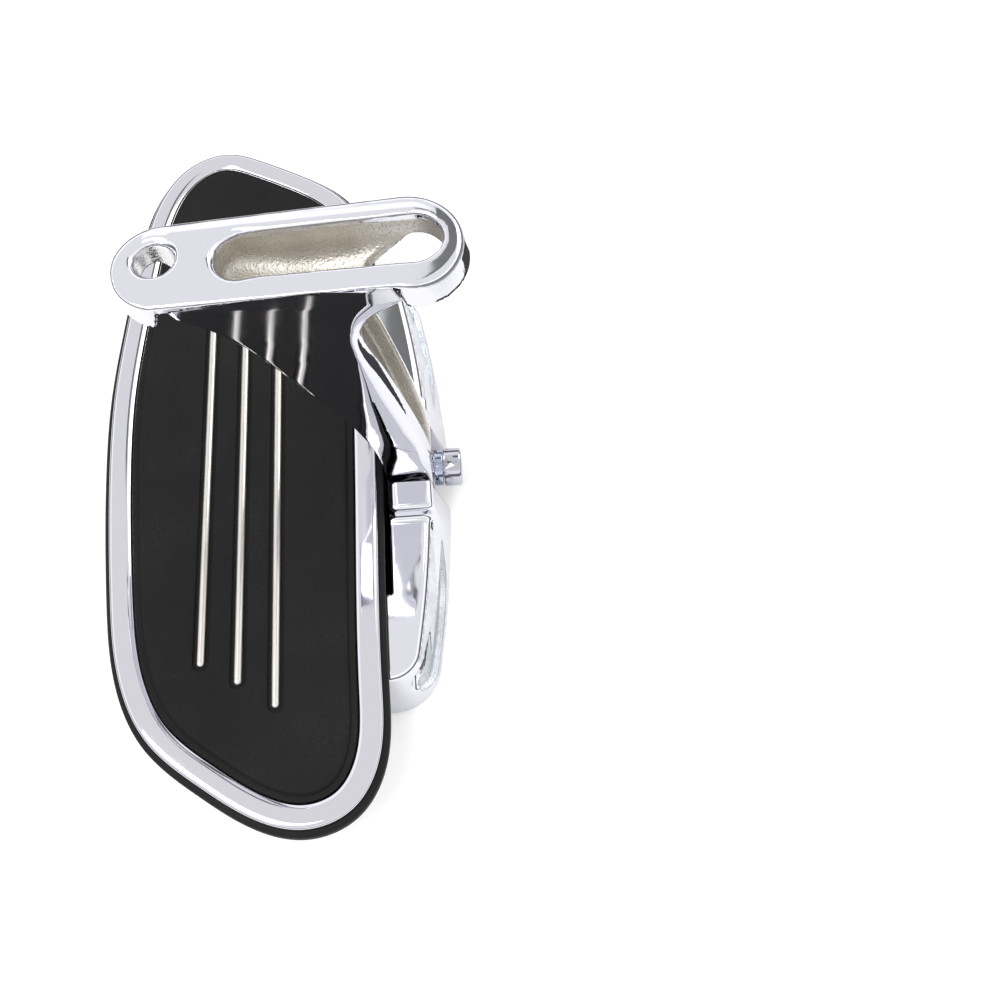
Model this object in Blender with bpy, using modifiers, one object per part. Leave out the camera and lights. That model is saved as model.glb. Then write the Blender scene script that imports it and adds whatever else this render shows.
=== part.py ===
"""Folding passenger floorboard for a motorcycle: a rubber-topped chrome board on a bowed hinge bracket,
and the cast mount arm that bolts to the machine.

Metres, +Z up. The board lies tread up with its long axis along Y and its hinge side towards +X.
The origin is on the underside, below the middle of the tread. The arm is in its folded position.
"""

import math

import bmesh
import bpy
import numpy as np
from mathutils import Matrix, Vector

MM = 0.001
GAP = 0.3 * MM                      # between two pieces that touch
RUNNING_GAP = 0.09 * MM             # round the hinge pin

# Outline of the trim ring's outer edge, seen from above, in millimetres
OUTLINE_POINTS = [
    (53.5, -40.0), (53.2, -108.0), (50.6, -138.0), (41.5, -152.3), (24.5, -158.3), (6.0, -153.2),
    (-13.0, -140.6), (-33.0, -122.6), (-43.8, -101.0), (-50.2, -64.0), (-54.4, -5.0), (-54.6, 28.0),
    (-51.0, 70.0), (-45.8, 112.0), (-38.2, 137.5), (-25.5, 153.0), (-10.5, 157.8), (6.0, 152.0),
    (24.5, 141.6), (41.0, 128.8), (50.2, 113.5), (53.6, 80.0), (53.9, 20.0),
]
OUTLINE_STEPS = 3                   # chords in each span of the outline

# Heights of the board's layers above the underside
PAN_TOP = 23.7 * MM
PAN_WALL = 4.0 * MM
PAN_PLATE = 3.8 * MM
PAN_RIB = 3.5 * MM
PAN_TOP_INSET = 4.0 * MM
PAN_FOOT_INSET = 9.5 * MM
RIB_PLACES = (-105.0 * MM, -52.0 * MM, 0.0, 52.0 * MM, 105.0 * MM)
BAND_HEIGHT = 5.0 * MM
BAND_PROUD = 2.3 * MM
RING_HEIGHT = 2.7 * MM
RING_WIDTH = 9.2 * MM
RING_FLANGE = 4.1 * MM
RING_FLANGE_HEIGHT = 0.95 * MM
PLATE_THICKNESS = 2.0 * MM
TREAD_PROUD = 0.5 * MM
TREAD_CHANNEL = 2.3 * MM
TREAD_EDGE_RADIUS = 2.4 * MM

# Stainless tread strips
STRIP_X = (-14.0 * MM, 0.0, 14.0 * MM)
STRIP_LOW_END = (-96.2 * MM, -104.2 * MM, -114.1 * MM)
STRIP_LENGTH = 200.0 * MM
STRIP_WIDTH = 3.2 * MM
STRIP_HEIGHT = 1.7 * MM
GROOVE_WIDTH = 6.0 * MM
GROOVE_DEPTH = 1.1 * MM

# Fasteners of the pad, under the pan
STUD_X = 22.0 * MM
STUD_Y = 78.0 * MM
STUD_RADIUS = 3.0 * MM
STUD_LENGTH = 10.5 * MM
WASHER_RADIUS = 6.2 * MM
WASHER_THICKNESS = 1.0 * MM
NUT_RADIUS = 5.7 * MM
NUT_HEIGHT = 5.0 * MM

# Hinge
PIVOT_X = 67.3 * MM
PIVOT_Y = -7.5 * MM
PIVOT_Z = 12.0 * MM
PIN_RADIUS = 4.0 * MM
KNUCKLE_RADIUS = 9.1 * MM
KNUCKLE_HALF = 12.5 * MM
THRUST_THICKNESS = 0.9 * MM
THRUST_RADIUS = 8.6 * MM
LUG_LENGTH = 12.8 * MM
LUG_TOP = 28.5 * MM
LUG_HALF_WIDTH = 9.0 * MM
CLIP_THICKNESS = 1.0 * MM
CLIP_RADIUS = 6.4 * MM

# Bowed bracket: the outer edge is a shallow arc that runs into a round end
BOW_APEX_X = 82.7 * MM
BOW_END_X = 55.0 * MM
BOW_END_Y = 82.0 * MM
BOW_END_RADIUS = 20.2 * MM
BOW_INNER_X = 50.8 * MM
BOW_CLEARANCE = 2.5 * MM            # between the bow's top and the rubber above it
BOW_DRAFT = 7.2 * MM
BOW_SHOULDER = 2.7 * MM
FOOT_X = 38.0 * MM
FOOT_NEAR = 66.0 * MM
FOOT_FAR = 92.0 * MM
FOOT_LOW = 8.0 * MM
FOOT_TOP = 17.7 * MM
GROOVE_NEAR_BOARD_X = (57.4 * MM, 58.8 * MM)
GROOVE_NEAR_BOARD_HALF = 62.0 * MM
SIDE_GROOVE_LOW = 9.0 * MM
POCKET_TIP = 33.0 * MM
POCKET_DEPTH = 2.6 * MM
POCKET_LOW = 2.6 * MM
POCKET_HIGH = 13.2 * MM
SCREW_X = 44.5 * MM
SCREW_PLACES = (72.5 * MM, 85.5 * MM)
SCREW_RADIUS = 3.0 * MM
SCREW_HEAD_RADIUS = 5.0 * MM
SCREW_HEAD_HEIGHT = 4.0 * MM

# Mount arm: the web's two edges seen along the hinge, in millimetres, from the flange down
WEB_BOARD_EDGE = [
    (-14.0, 153.0), (-8.5, 146.0), (-0.5, 141.7), (11.0, 134.6), (19.9, 124.7), (28.1, 111.4),
    (36.0, 98.1), (46.2, 80.1), (53.0, 60.1), (56.4, 42.4), (58.2, 22.0),
]
WEB_HINGE_EDGE = [
    (76.4, 22.0), (76.4, 38.0), (73.9, 57.5), (68.6, 84.0), (63.0, 107.0), (59.4, 118.5),
    (57.8, 127.0), (58.4, 134.0), (61.8, 139.6), (67.6, 144.4), (74.0, 148.4), (80.0, 153.0),
]
WEB_STEPS = 3
WEB_FOOT = 22.0 * MM                # the web's shape is stretched between these two heights
WEB_HEAD = 153.0 * MM
WEB_HEAD_DEPTH = 4.0 * MM           # how far the web's head lies under the flange's face
WEB_FRONT = 16.6 * MM               # the web's two faces, measured from the pivot's middle
WEB_BACK = 13.6 * MM
WEB_LEAN = (32.0 * MM, 70.0 * MM)   # between these heights the faces draw in to the knuckle's width
WEB_TURN_X = 30.0 * MM              # from here to the bolt hole's end they draw in a little too
WEB_TURN = 0.075
WEB_TOP_CLEARANCE = 0.5 * MM
WEB_TOP_FADE = 9.0 * MM
BOARD_EDGE_RADII = [(24.0, 0.5), (34.0, 1.2)]
HINGE_EDGE_RADII = [(24.0, 0.5), (34.0, 4.5), (50.0, 8.0), (62.0, 8.0), (90.0, 5.5), (118.0, 3.2)]
KNUCKLE_EDGE_RADIUS = 0.5 * MM
HEEL_RADIUS = 1.5 * MM

# The flange: two round ends joined by tangents; sides are measured from the pivot's middle
FLANGE_TILT = math.radians(2.5)
FLANGE_TOP = 157.0 * MM             # at the middle of the bolt hole's end
FLANGE_START_X = -1.0 * MM
FLANGE_START_SIDE = -1.5 * MM
FLANGE_START_RADIUS = 15.8 * MM
FLANGE_FINISH_X = 74.8 * MM
FLANGE_FINISH_SIDE = 0.3 * MM
FLANGE_FINISH_RADIUS = 17.1 * MM
FLANGE_THIN = 7.0 * MM
FLANGE_THICK = 11.5 * MM
FLANGE_THIN_FLARE = 0.9 * MM        # how much the wall widens from the face down, at each end
FLANGE_THICK_FLARE = 2.3 * MM
FLANGE_FLUSH = [(8.0, 1.0), (26.0, 0.0), (62.0, 0.0), (74.0, 1.0)]
FLANGE_EDGE_RADIUS = 2.2 * MM
FLANGE_CHORD = 9.0 * MM
BOLT_HOLE_X = -4.0 * MM
BOLT_HOLE_SIDE = 1.9 * MM
BOLT_HOLE_RADIUS = 6.4 * MM
SLOT_START_X = 23.8 * MM
SLOT_START_SIDE = 0.5 * MM
SLOT_START_RADIUS = 8.8 * MM
SLOT_FINISH_X = 77.9 * MM
SLOT_FINISH_SIDE = 1.3 * MM
SLOT_FINISH_RADIUS = 9.4 * MM
RIM_BEVEL = 1.2 * MM

# Floor of the slot over the web, in millimetres: run along X and depth under the flange's face
SLOT_FLOOR_POINTS = [
    (13.0, -8.0), (16.0, -10.8), (24.0, -13.4), (36.0, -15.0), (48.0, -15.2), (58.0, -14.0), (64.0, -12.2),
]
SLOT_FLOOR_DEPTH = 50.0 * MM

# Pocket down the web's hinge edge: half width at each height
SIDE_POCKET_HALVES = [(38.0, 2.8), (60.0, 4.2), (90.0, 6.0), (126.0, 7.2)]
SIDE_POCKET_END_RADIUS = 6.0 * MM
SIDE_POCKET_DEPTH = 5.0 * MM
SIDE_POCKET_LOW = 38.7 * MM
SIDE_POCKET_TOP_DEPTH = 31.2 * MM

# Drag plunger in the knuckle
PLUG_HEAD_RADIUS = 8.0 * MM
PLUG_HEAD_LENGTH = 7.6 * MM
PLUG_SHANK_RADIUS = 4.5 * MM
PLUG_TIP = 1.0 * MM                 # the shank's tip stays this far from the pin
PLUG_BORE_RADIUS = 2.8 * MM
COLLAR_RADIUS = 7.6 * MM
COLLAR_LENGTH = 4.0 * MM
SOCKET_RADIUS = 4.6 * MM
SOCKET_DEPTH = 2.6 * MM
BALL_RADIUS = 2.4 * MM
BALL_TRACK_DEPTH = 0.8 * MM
SPRING_WIRE = 0.35 * MM
SPRING_TURNS = 6
SPRING_SIDES = 9

ROUND_SIDES = 24

RUBBER_FLOOR = PAN_TOP + GAP
BOW_HEIGHT = RUBBER_FLOOR - BOW_CLEARANCE
BAND_TOP = RUBBER_FLOOR + BAND_HEIGHT
RING_FLOOR = BAND_TOP + GAP
RING_TOP = RING_FLOOR + RING_HEIGHT
TREAD_TOP = RING_TOP + TREAD_PROUD
GAP_FACE = KNUCKLE_HALF + THRUST_THICKNESS + 2.0 * GAP     # inner face of each lug
LUG_END = GAP_FACE + LUG_LENGTH
BRIDGE_FACE_X = PIVOT_X - KNUCKLE_RADIUS - GAP

PART = bpy.data.collections.new("motorcycle_floorboard")
CUTTERS = bpy.data.collections.new("floorboard_cutters")


def start_scene():
    """Clears the scene's objects and links the two collections."""
    for obj in list(bpy.data.objects):
        bpy.data.objects.remove(obj, do_unlink=True)
    bpy.context.scene.collection.children.link(PART)
    bpy.context.scene.collection.children.link(CUTTERS)


def material(name, colour, roughness, metallic):
    """A plain Principled material."""
    mat = bpy.data.materials.new(name)
    mat.use_nodes = True
    shader = mat.node_tree.nodes["Principled BSDF"]
    shader.inputs["Base Color"].default_value = (*colour, 1.0)
    shader.inputs["Roughness"].default_value = roughness
    shader.inputs["Metallic"].default_value = metallic
    return mat


def chrome():
    return material("chrome", (0.86, 0.87, 0.90), 0.08, 1.0)


def tread_rubber():
    return material("tread_rubber", (0.030, 0.030, 0.032), 0.75, 0.0)


def band_rubber():
    return material("band_rubber", (0.020, 0.020, 0.021), 0.65, 0.0)


def stainless():
    return material("stainless", (0.74, 0.72, 0.68), 0.25, 1.0)


def zinc_steel():
    return material("zinc_steel", (0.55, 0.56, 0.58), 0.40, 1.0)


# Outlines

def closed_spline(points, steps):
    """Points on the smooth closed curve through the given ones: a periodic cubic spline over the chord length."""
    knots = np.asarray(points, float) * MM
    count = len(knots)
    spans = np.linalg.norm(np.roll(knots, -1, 0) - knots, axis=1)
    system = np.zeros((count, count))
    target = np.zeros((count, 2))
    for i in range(count):
        before, after = spans[i - 1], spans[i]
        system[i, i - 1] += before
        system[i, i] += 2.0 * (before + after)
        system[i, (i + 1) % count] += after
        rise_after = (knots[(i + 1) % count] - knots[i]) / after
        rise_before = (knots[i] - knots[i - 1]) / before
        target[i] = 6.0 * (rise_after - rise_before)
    bend = np.linalg.solve(system, target)
    out = []
    for i in range(count):
        j = (i + 1) % count
        span = spans[i]
        for k in range(steps):
            b = k / steps
            a = 1.0 - b
            bow = ((a ** 3 - a) * bend[i] + (b ** 3 - b) * bend[j]) * span ** 2 / 6.0
            out.append(a * knots[i] + b * knots[j] + bow)
    return np.array(out)


def open_spline(points, steps):
    """Points on a smooth open curve through the given ones: Catmull-Rom spans."""
    knots = np.asarray(points, float) * MM
    padded = np.vstack([2.0 * knots[0] - knots[1], knots, 2.0 * knots[-1] - knots[-2]])
    out = []
    for i in range(1, len(padded) - 2):
        p0, p1, p2, p3 = padded[i - 1:i + 3]
        for k in range(steps):
            t = k / steps
            out.append(0.5 * (2.0 * p1 + (p2 - p0) * t + (2.0 * p0 - 5.0 * p1 + 4.0 * p2 - p3) * t ** 2
                              + (3.0 * p1 - p0 - 3.0 * p2 + p3) * t ** 3))
    out.append(knots[-1])
    return np.array(out)


def inset(outline, distance):
    """The outline moved inwards by a distance, or by one distance for each point; positive area outlines only."""
    along = np.roll(outline, -1, 0) - np.roll(outline, 1, 0)
    along /= np.linalg.norm(along, axis=1)[:, None]
    area = 0.5 * np.sum(outline[:, 0] * np.roll(outline[:, 1], -1) - np.roll(outline[:, 0], -1) * outline[:, 1])
    inward = np.column_stack([-along[:, 1], along[:, 0]]) * (1.0 if area > 0 else -1.0)
    return outline + inward * np.reshape(distance, (-1, 1))


def arc(centre, radius, start, end, steps):
    """Points on an arc between two angles in degrees, both ends included."""
    angles = np.radians(np.linspace(start, end, steps + 1))
    return np.column_stack([centre[0] + radius * np.cos(angles), centre[1] + radius * np.sin(angles)])


# Meshes

def add_object(name, mesh, collection, mat=None):
    obj = bpy.data.objects.new(name, mesh)
    collection.objects.link(obj)
    if mat:
        mesh.materials.append(mat)
    if collection is CUTTERS:
        obj.hide_render = True
        obj.display_type = "WIRE"
    return obj


def mesh_from(name, points, faces, collection, mat=None):
    """An object from corner points and faces, its faces turned outwards."""
    mesh = bpy.data.meshes.new(name)
    mesh.from_pydata([tuple(p) for p in points], [], faces)
    shape = bmesh.new()
    shape.from_mesh(mesh)
    bmesh.ops.recalc_face_normals(shape, faces=shape.faces)
    shape.to_mesh(mesh)
    shape.free()
    return add_object(name, mesh, collection, mat)


def stack(name, rings, collection, mat=None):
    """A closed solid lofted through rings of equal length, with flat ends."""
    count = len(rings[0])
    points = np.vstack(rings)
    faces = []
    for level in range(len(rings) - 1):
        low, high = level * count, (level + 1) * count
        for i in range(count):
            j = (i + 1) % count
            faces.append((low + i, low + j, high + j, high + i))
    faces.append(tuple(range(count)))
    faces.append(tuple((len(rings) - 1) * count + i for i in reversed(range(count))))
    return mesh_from(name, points, faces, collection, mat)


def frame(name, rings, collection, mat=None):
    """A closed frame: the last ring joins the first, so a section runs all round the outline."""
    count = len(rings[0])
    points = np.vstack(rings)
    faces = []
    for level in range(len(rings)):
        low, high = level * count, ((level + 1) % len(rings)) * count
        for i in range(count):
            j = (i + 1) % count
            faces.append((low + i, low + j, high + j, high + i))
    return mesh_from(name, points, faces, collection, mat)


def flat_ring(outline, height):
    """An outline in the XY plane at a height."""
    return np.column_stack([outline, np.full(len(outline), height)])


def levels(outline, profile):
    """Rings of an outline at each (height, inset) of a profile."""
    return [flat_ring(inset(outline, step), height) for height, step in profile]


def prism(name, outline, low, high, plane="XY", collection=None, mat=None):
    """An outline made a solid between two levels: a flat curve, filled and extruded.

    In plane XY it rises along Z. In plane XZ the outline is (x, z) and the levels are along Y.
    In plane YZ the outline is (y, z) and the levels are along X.
    """
    curve = bpy.data.curves.new(name, "CURVE")
    curve.dimensions = "2D"
    curve.fill_mode = "BOTH"
    curve.extrude = 0.5 * (high - low)
    spline = curve.splines.new("POLY")
    spline.points.add(len(outline) - 1)
    for point, (a, b) in zip(spline.points, outline):
        point.co = (a, b, 0.0, 1.0)
    spline.use_cyclic_u = True
    guide = bpy.data.objects.new(name + "_curve", curve)
    CUTTERS.objects.link(guide)
    middle = 0.5 * (low + high)
    if plane == "XY":
        guide.matrix_world = Matrix.Translation((0.0, 0.0, middle))
    elif plane == "XZ":
        guide.matrix_world = Matrix.Translation((0.0, middle, 0.0)) @ Matrix.Rotation(math.pi / 2, 4, "X")
    else:
        turn = Matrix(((0, 0, 1, 0), (1, 0, 0, 0), (0, 1, 0, 0), (0, 0, 0, 1)))
        guide.matrix_world = Matrix.Translation((middle, 0.0, 0.0)) @ turn
    bpy.context.view_layer.update()
    solid = bpy.data.meshes.new_from_object(guide.evaluated_get(bpy.context.evaluated_depsgraph_get()))
    solid.transform(guide.matrix_world)
    shape = bmesh.new()
    shape.from_mesh(solid)
    bmesh.ops.remove_doubles(shape, verts=shape.verts, dist=0.00001)
    bmesh.ops.recalc_face_normals(shape, faces=shape.faces)
    shape.to_mesh(solid)
    shape.free()
    bpy.data.objects.remove(guide, do_unlink=True)
    solid.materials.clear()
    return add_object(name, solid, collection or CUTTERS, mat)


def box(name, low, high, collection=None, mat=None):
    """A box between two corners."""
    low, high = Vector(low), Vector(high)
    shape = bmesh.new()
    bmesh.ops.create_cube(shape, size=1.0)
    size = high - low
    bmesh.ops.scale(shape, vec=size, verts=shape.verts)
    bmesh.ops.translate(shape, vec=(low + high) / 2.0, verts=shape.verts)
    mesh = bpy.data.meshes.new(name)
    shape.to_mesh(mesh)
    shape.free()
    return add_object(name, mesh, collection or CUTTERS, mat)


def cylinder(name, start, axis, length, radius, sides=ROUND_SIDES, collection=None, mat=None):
    """A cylinder, or a prism with few sides, from a start point along an axis."""
    shape = bmesh.new()
    bmesh.ops.create_cone(shape, cap_ends=True, segments=sides, radius1=radius, radius2=radius, depth=length)
    direction = Vector(axis).normalized()
    place = Matrix.Translation(Vector(start) + direction * (length / 2.0))
    turn = direction.to_track_quat("Z", "Y").to_matrix().to_4x4()
    bmesh.ops.transform(shape, matrix=place @ turn, verts=shape.verts)
    mesh = bpy.data.meshes.new(name)
    shape.to_mesh(mesh)
    shape.free()
    return add_object(name, mesh, collection or CUTTERS, mat)


def turned(name, profile, mat, axis="Y", centre=(0.0, 0.0, 0.0), sides=ROUND_SIDES, collection=None):
    """A turned piece: a closed profile of (radius, place along the axis) swept round by a Screw modifier."""
    mesh = bpy.data.meshes.new(name)
    points = [(radius, 0.0, along) for radius, along in profile]
    mesh.from_pydata(points, [(i, i + 1) for i in range(len(points) - 1)], [])
    obj = add_object(name, mesh, collection or PART, mat)
    spin = obj.modifiers.new("turn", "SCREW")
    spin.angle = 2.0 * math.pi
    spin.steps = sides
    spin.render_steps = sides
    spin.use_merge_vertices = True
    spin.merge_threshold = 0.00001
    obj.location = centre
    if axis == "Y":
        obj.rotation_euler = (-math.pi / 2.0, 0.0, 0.0)
    elif axis == "X":
        obj.rotation_euler = (0.0, math.pi / 2.0, 0.0)
    return obj


def boolean(obj, tool, operation):
    """Adds an exact Boolean modifier and keeps the tool out of the part."""
    step = obj.modifiers.new(operation.lower(), "BOOLEAN")
    step.operation = operation
    step.solver = "EXACT"
    step.object = tool
    if tool.name not in CUTTERS.objects:
        CUTTERS.objects.link(tool)
        PART.objects.unlink(tool)
    tool.hide_render = True
    tool.display_type = "WIRE"


def cut(obj, *tools):
    for tool in tools:
        boolean(obj, tool, "DIFFERENCE")


def join(obj, *tools):
    for tool in tools:
        boolean(obj, tool, "UNION")


def stadium(start, start_radius, finish, finish_radius, steps):
    """Two round ends joined by their outer tangents; start and finish are the ends' centres."""
    run, side = finish[0] - start[0], finish[1] - start[1]
    turn = math.degrees(math.atan2(side, run))
    lean = math.degrees(math.asin((finish_radius - start_radius) / math.hypot(run, side)))
    right = arc(finish, finish_radius, turn - 90.0 - lean, turn + 90.0 + lean, steps)
    left = arc(start, start_radius, turn + 90.0 + lean, turn + 270.0 - lean, steps)
    return np.vstack([right, left])


def divided(outline, longest):
    """A closed outline with its long chords cut into equal shorter ones."""
    points = []
    for start, end in zip(outline, np.roll(outline, -1, 0)):
        steps = max(1, math.ceil(np.linalg.norm(end - start) / longest))
        for k in range(steps):
            points.append(start + (end - start) * k / steps)
    return np.array(points)


def read_off(table, values):
    """Values read off a table of (place, amount) in millimetres, straight between its rows."""
    places, amounts = np.array(table).T * MM
    return np.interp(values, places, amounts)


# The board

def make_base_pan(outline):
    """Chrome tray under the board: tapered walls, ribs below, seats for the bracket's feet."""
    profile = [
        (0.0, PAN_FOOT_INSET + 3.0 * MM),
        (0.8 * MM, PAN_FOOT_INSET + 1.3 * MM),
        (3.0 * MM, PAN_FOOT_INSET),
        (16.0 * MM, PAN_TOP_INSET + 0.7 * MM),
        (PAN_TOP - 0.8 * MM, PAN_TOP_INSET),
        (PAN_TOP, PAN_TOP_INSET + 0.7 * MM),
    ]
    pan = stack("base_pan", levels(outline, profile), PART, chrome())
    hollow_top = PAN_TOP - PAN_PLATE
    hollow = stack("pan_hollow", levels(outline, [
        (-1.0 * MM, PAN_FOOT_INSET + 3.0 * MM + PAN_WALL),
        (3.0 * MM, PAN_FOOT_INSET + PAN_WALL),
        (16.0 * MM, PAN_TOP_INSET + PAN_WALL),
        (hollow_top, PAN_TOP_INSET + PAN_WALL + 1.0 * MM),
    ]), CUTTERS)
    reach = 200.0 * MM
    cut(hollow, box("rib_along", (-PAN_RIB / 2, -reach, -2 * MM), (PAN_RIB / 2, reach, PAN_TOP)))
    for number, place in enumerate(RIB_PLACES, 1):
        low = (-reach, place - PAN_RIB / 2, -2 * MM)
        cut(hollow, box(f"rib_across_{number}", low, (reach, place + PAN_RIB / 2, PAN_TOP)))
    wall = 3.5 * MM
    for side in (-1, 1):
        near, far = sorted((PIVOT_Y + side * FOOT_NEAR, PIVOT_Y + side * FOOT_FAR))
        block = box(f"foot_block_{side + 2}", (FOOT_X - wall, near - wall, -2 * MM), (reach, far + wall, PAN_TOP))
        cut(hollow, block)
    cut(pan, hollow)
    for side in (-1, 1):
        near, far = sorted((PIVOT_Y + side * FOOT_NEAR, PIVOT_Y + side * FOOT_FAR))
        low = (FOOT_X - GAP, near - GAP, -1 * MM)
        cut(pan, box(f"foot_seat_{side + 2}", low, (reach, far + GAP, FOOT_TOP + GAP)))
        for place in SCREW_PLACES:
            start = (SCREW_X, PIVOT_Y + side * place, FOOT_TOP - 1 * MM)
            cut(pan, cylinder("screw_thread", start, (0, 0, 1), 5.7 * MM, SCREW_RADIUS + GAP, 24))
    for x, y in stud_places():
        cut(pan, cylinder("stud_hole", (x, y, hollow_top - 2 * MM), (0, 0, 1), 8 * MM, STUD_RADIUS + GAP, 24))
    return pan


def stud_places():
    return [(x, y) for y in (-STUD_Y, STUD_Y) for x in (-STUD_X, STUD_X)]


def make_rubber_base(outline):
    """Rubber isolator whose edge stands out below the trim ring as a black band."""
    opening = RING_WIDTH + RING_FLANGE - 0.1 * MM
    low, high = RUBBER_FLOOR, BAND_TOP
    section = [
        (low, opening), (low, -BAND_PROUD + 1.0 * MM), (low + 0.6 * MM, -BAND_PROUD),
        (high - 1.2 * MM, -BAND_PROUD), (high - 0.4 * MM, -BAND_PROUD + 0.6 * MM),
        (high, -BAND_PROUD + 1.6 * MM), (high, opening),
    ]
    return frame("rubber_base", levels(outline, section), PART, band_rubber())


def make_trim_ring(outline):
    """Chrome ring with a rounded outer edge, a bright inner shoulder and a flange that the tread holds down."""
    low, high = RING_FLOOR, RING_TOP
    step = low + RING_FLANGE_HEIGHT
    inner = RING_WIDTH + RING_FLANGE
    section = [
        (low, 0.3 * MM), (low + 0.7 * MM, 0.0), (high - 1.2 * MM, 0.3 * MM), (high - 0.4 * MM, 1.3 * MM),
        (high, 3.0 * MM), (high, 6.2 * MM), (high - 0.3 * MM, 7.7 * MM), (high - 0.9 * MM, 8.8 * MM),
        (step, RING_WIDTH), (step, inner), (low, inner),
    ]
    return frame("trim_ring", levels(outline, section), PART, chrome())


def make_tread_pad(outline):
    """Moulded rubber tread: a skirt over the ring's flange, a channel, and a plateau with three grooves."""
    body = RING_WIDTH + RING_FLANGE + GAP
    low = RUBBER_FLOOR + PLATE_THICKNESS + GAP
    skirt = RING_FLOOR + RING_FLANGE_HEIGHT + GAP
    edge = RING_WIDTH + GAP
    channel = skirt + 0.4 * MM
    rise = edge + TREAD_CHANNEL
    soft = TREAD_EDGE_RADIUS
    top = TREAD_TOP
    profile = [
        (low, body), (skirt, body), (skirt, edge + 0.1 * MM), (channel, edge + 0.1 * MM), (channel, rise),
        (channel + 0.5 * (top - channel), rise + 0.15 * soft), (top - 0.3 * MM, rise + 0.45 * soft),
        (top, rise + soft),
    ]
    pad = stack("tread_pad", levels(outline, profile), PART, tread_rubber())
    for number, (x, start) in enumerate(zip(STRIP_X, STRIP_LOW_END), 1):
        groove = bar_outline(x, start, STRIP_LENGTH, GROOVE_WIDTH, (GROOVE_WIDTH - STRIP_WIDTH) / 2)
        cut(pad, prism(f"tread_groove_{number}", groove, top - GROOVE_DEPTH, top + 2 * MM))
    return pad


def bar_outline(x, start, length, width, margin=0.0):
    """A bar along Y with round ends, longer at each end by a margin."""
    half = width / 2.0
    low = (x, start - margin + half)
    high = (x, start + length + margin - half)
    return np.vstack([arc(low, half, 180.0, 360.0, 8), arc(high, half, 0.0, 180.0, 8)])


def make_tread_strip(number, x, start):
    """Half-round stainless strip that stands in its groove."""
    floor = TREAD_TOP - GROOVE_DEPTH + GAP
    outline = bar_outline(x, start, STRIP_LENGTH, STRIP_WIDTH)
    half = STRIP_WIDTH / 2.0
    angles = np.radians([0.0, 30.0, 55.0, 75.0])
    profile = [(floor, 0.0)]
    for angle in angles:
        profile.append((floor + 0.3 * MM + (STRIP_HEIGHT - 0.3 * MM) * math.sin(angle), half * (1 - math.cos(angle))))
    return stack(f"tread_strip_{number}", levels(outline, profile), PART, stainless())


def make_backing_plate(outline):
    """Steel plate under the tread, with four studs that pass through the pan."""
    side = RING_WIDTH + RING_FLANGE + GAP
    profile = [(RUBBER_FLOOR, side), (RUBBER_FLOOR + PLATE_THICKNESS, side)]
    plate = stack("backing_plate", levels(outline, profile), PART, zinc_steel())
    for x, y in stud_places():
        start = (x, y, RUBBER_FLOOR + PLATE_THICKNESS / 2)
        join(plate, cylinder("stud", start, (0, 0, -1), STUD_LENGTH + PLATE_THICKNESS / 2, STUD_RADIUS, 24))
    return plate


def make_pad_nut(number, x, y):
    """Hexagon nut and its washer on one stud of the backing plate."""
    washer_top = PAN_TOP - PAN_PLATE - GAP
    washer_low = washer_top - WASHER_THICKNESS
    bore = STUD_RADIUS + GAP
    turned(f"pad_washer_{number}", [
        (bore, washer_top), (WASHER_RADIUS, washer_top), (WASHER_RADIUS, washer_low), (bore, washer_low),
        (bore, washer_top)], zinc_steel(), "Z", (x, y, 0.0), 24)
    nut_top = washer_low - GAP
    start = (x, y, nut_top - NUT_HEIGHT)
    nut = cylinder(f"pad_nut_{number}", start, (0, 0, 1), NUT_HEIGHT, NUT_RADIUS, 6, PART, zinc_steel())
    cut(nut, cylinder("nut_bore", (x, y, nut_top - 8 * MM), (0, 0, 1), 12 * MM, bore, 24))


# The hinge bracket

def bow_outline(step):
    """The bracket from above, drawn in by a step: bow, round ends and a straight inner side."""
    reach = BOW_APEX_X - BOW_END_X
    bow_radius = (reach ** 2 - BOW_END_RADIUS ** 2 + BOW_END_Y ** 2) / (2.0 * (reach - BOW_END_RADIUS))
    bow_x = BOW_APEX_X - bow_radius
    meet = math.degrees(math.atan2(BOW_END_Y, BOW_END_X - bow_x))
    low_end = arc((BOW_END_X, PIVOT_Y - BOW_END_Y), BOW_END_RADIUS - step, -90.0, -meet, 10)
    bow = arc((bow_x, PIVOT_Y), bow_radius - step, -meet, meet, 16)
    high_end = arc((BOW_END_X, PIVOT_Y + BOW_END_Y), BOW_END_RADIUS - step, meet, 90.0, 10)
    inner_low = (BOW_INNER_X, PIVOT_Y - BOW_END_Y - BOW_END_RADIUS + step)
    inner_high = (BOW_INNER_X, PIVOT_Y + BOW_END_Y + BOW_END_RADIUS - step)
    return np.vstack([low_end, bow[1:-1], high_end, [inner_high, inner_low]])


def wall_inset(height):
    """How far the outer wall is drawn in at a height."""
    return BOW_DRAFT * height / (BOW_HEIGHT - BOW_SHOULDER * 0.8)


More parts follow.
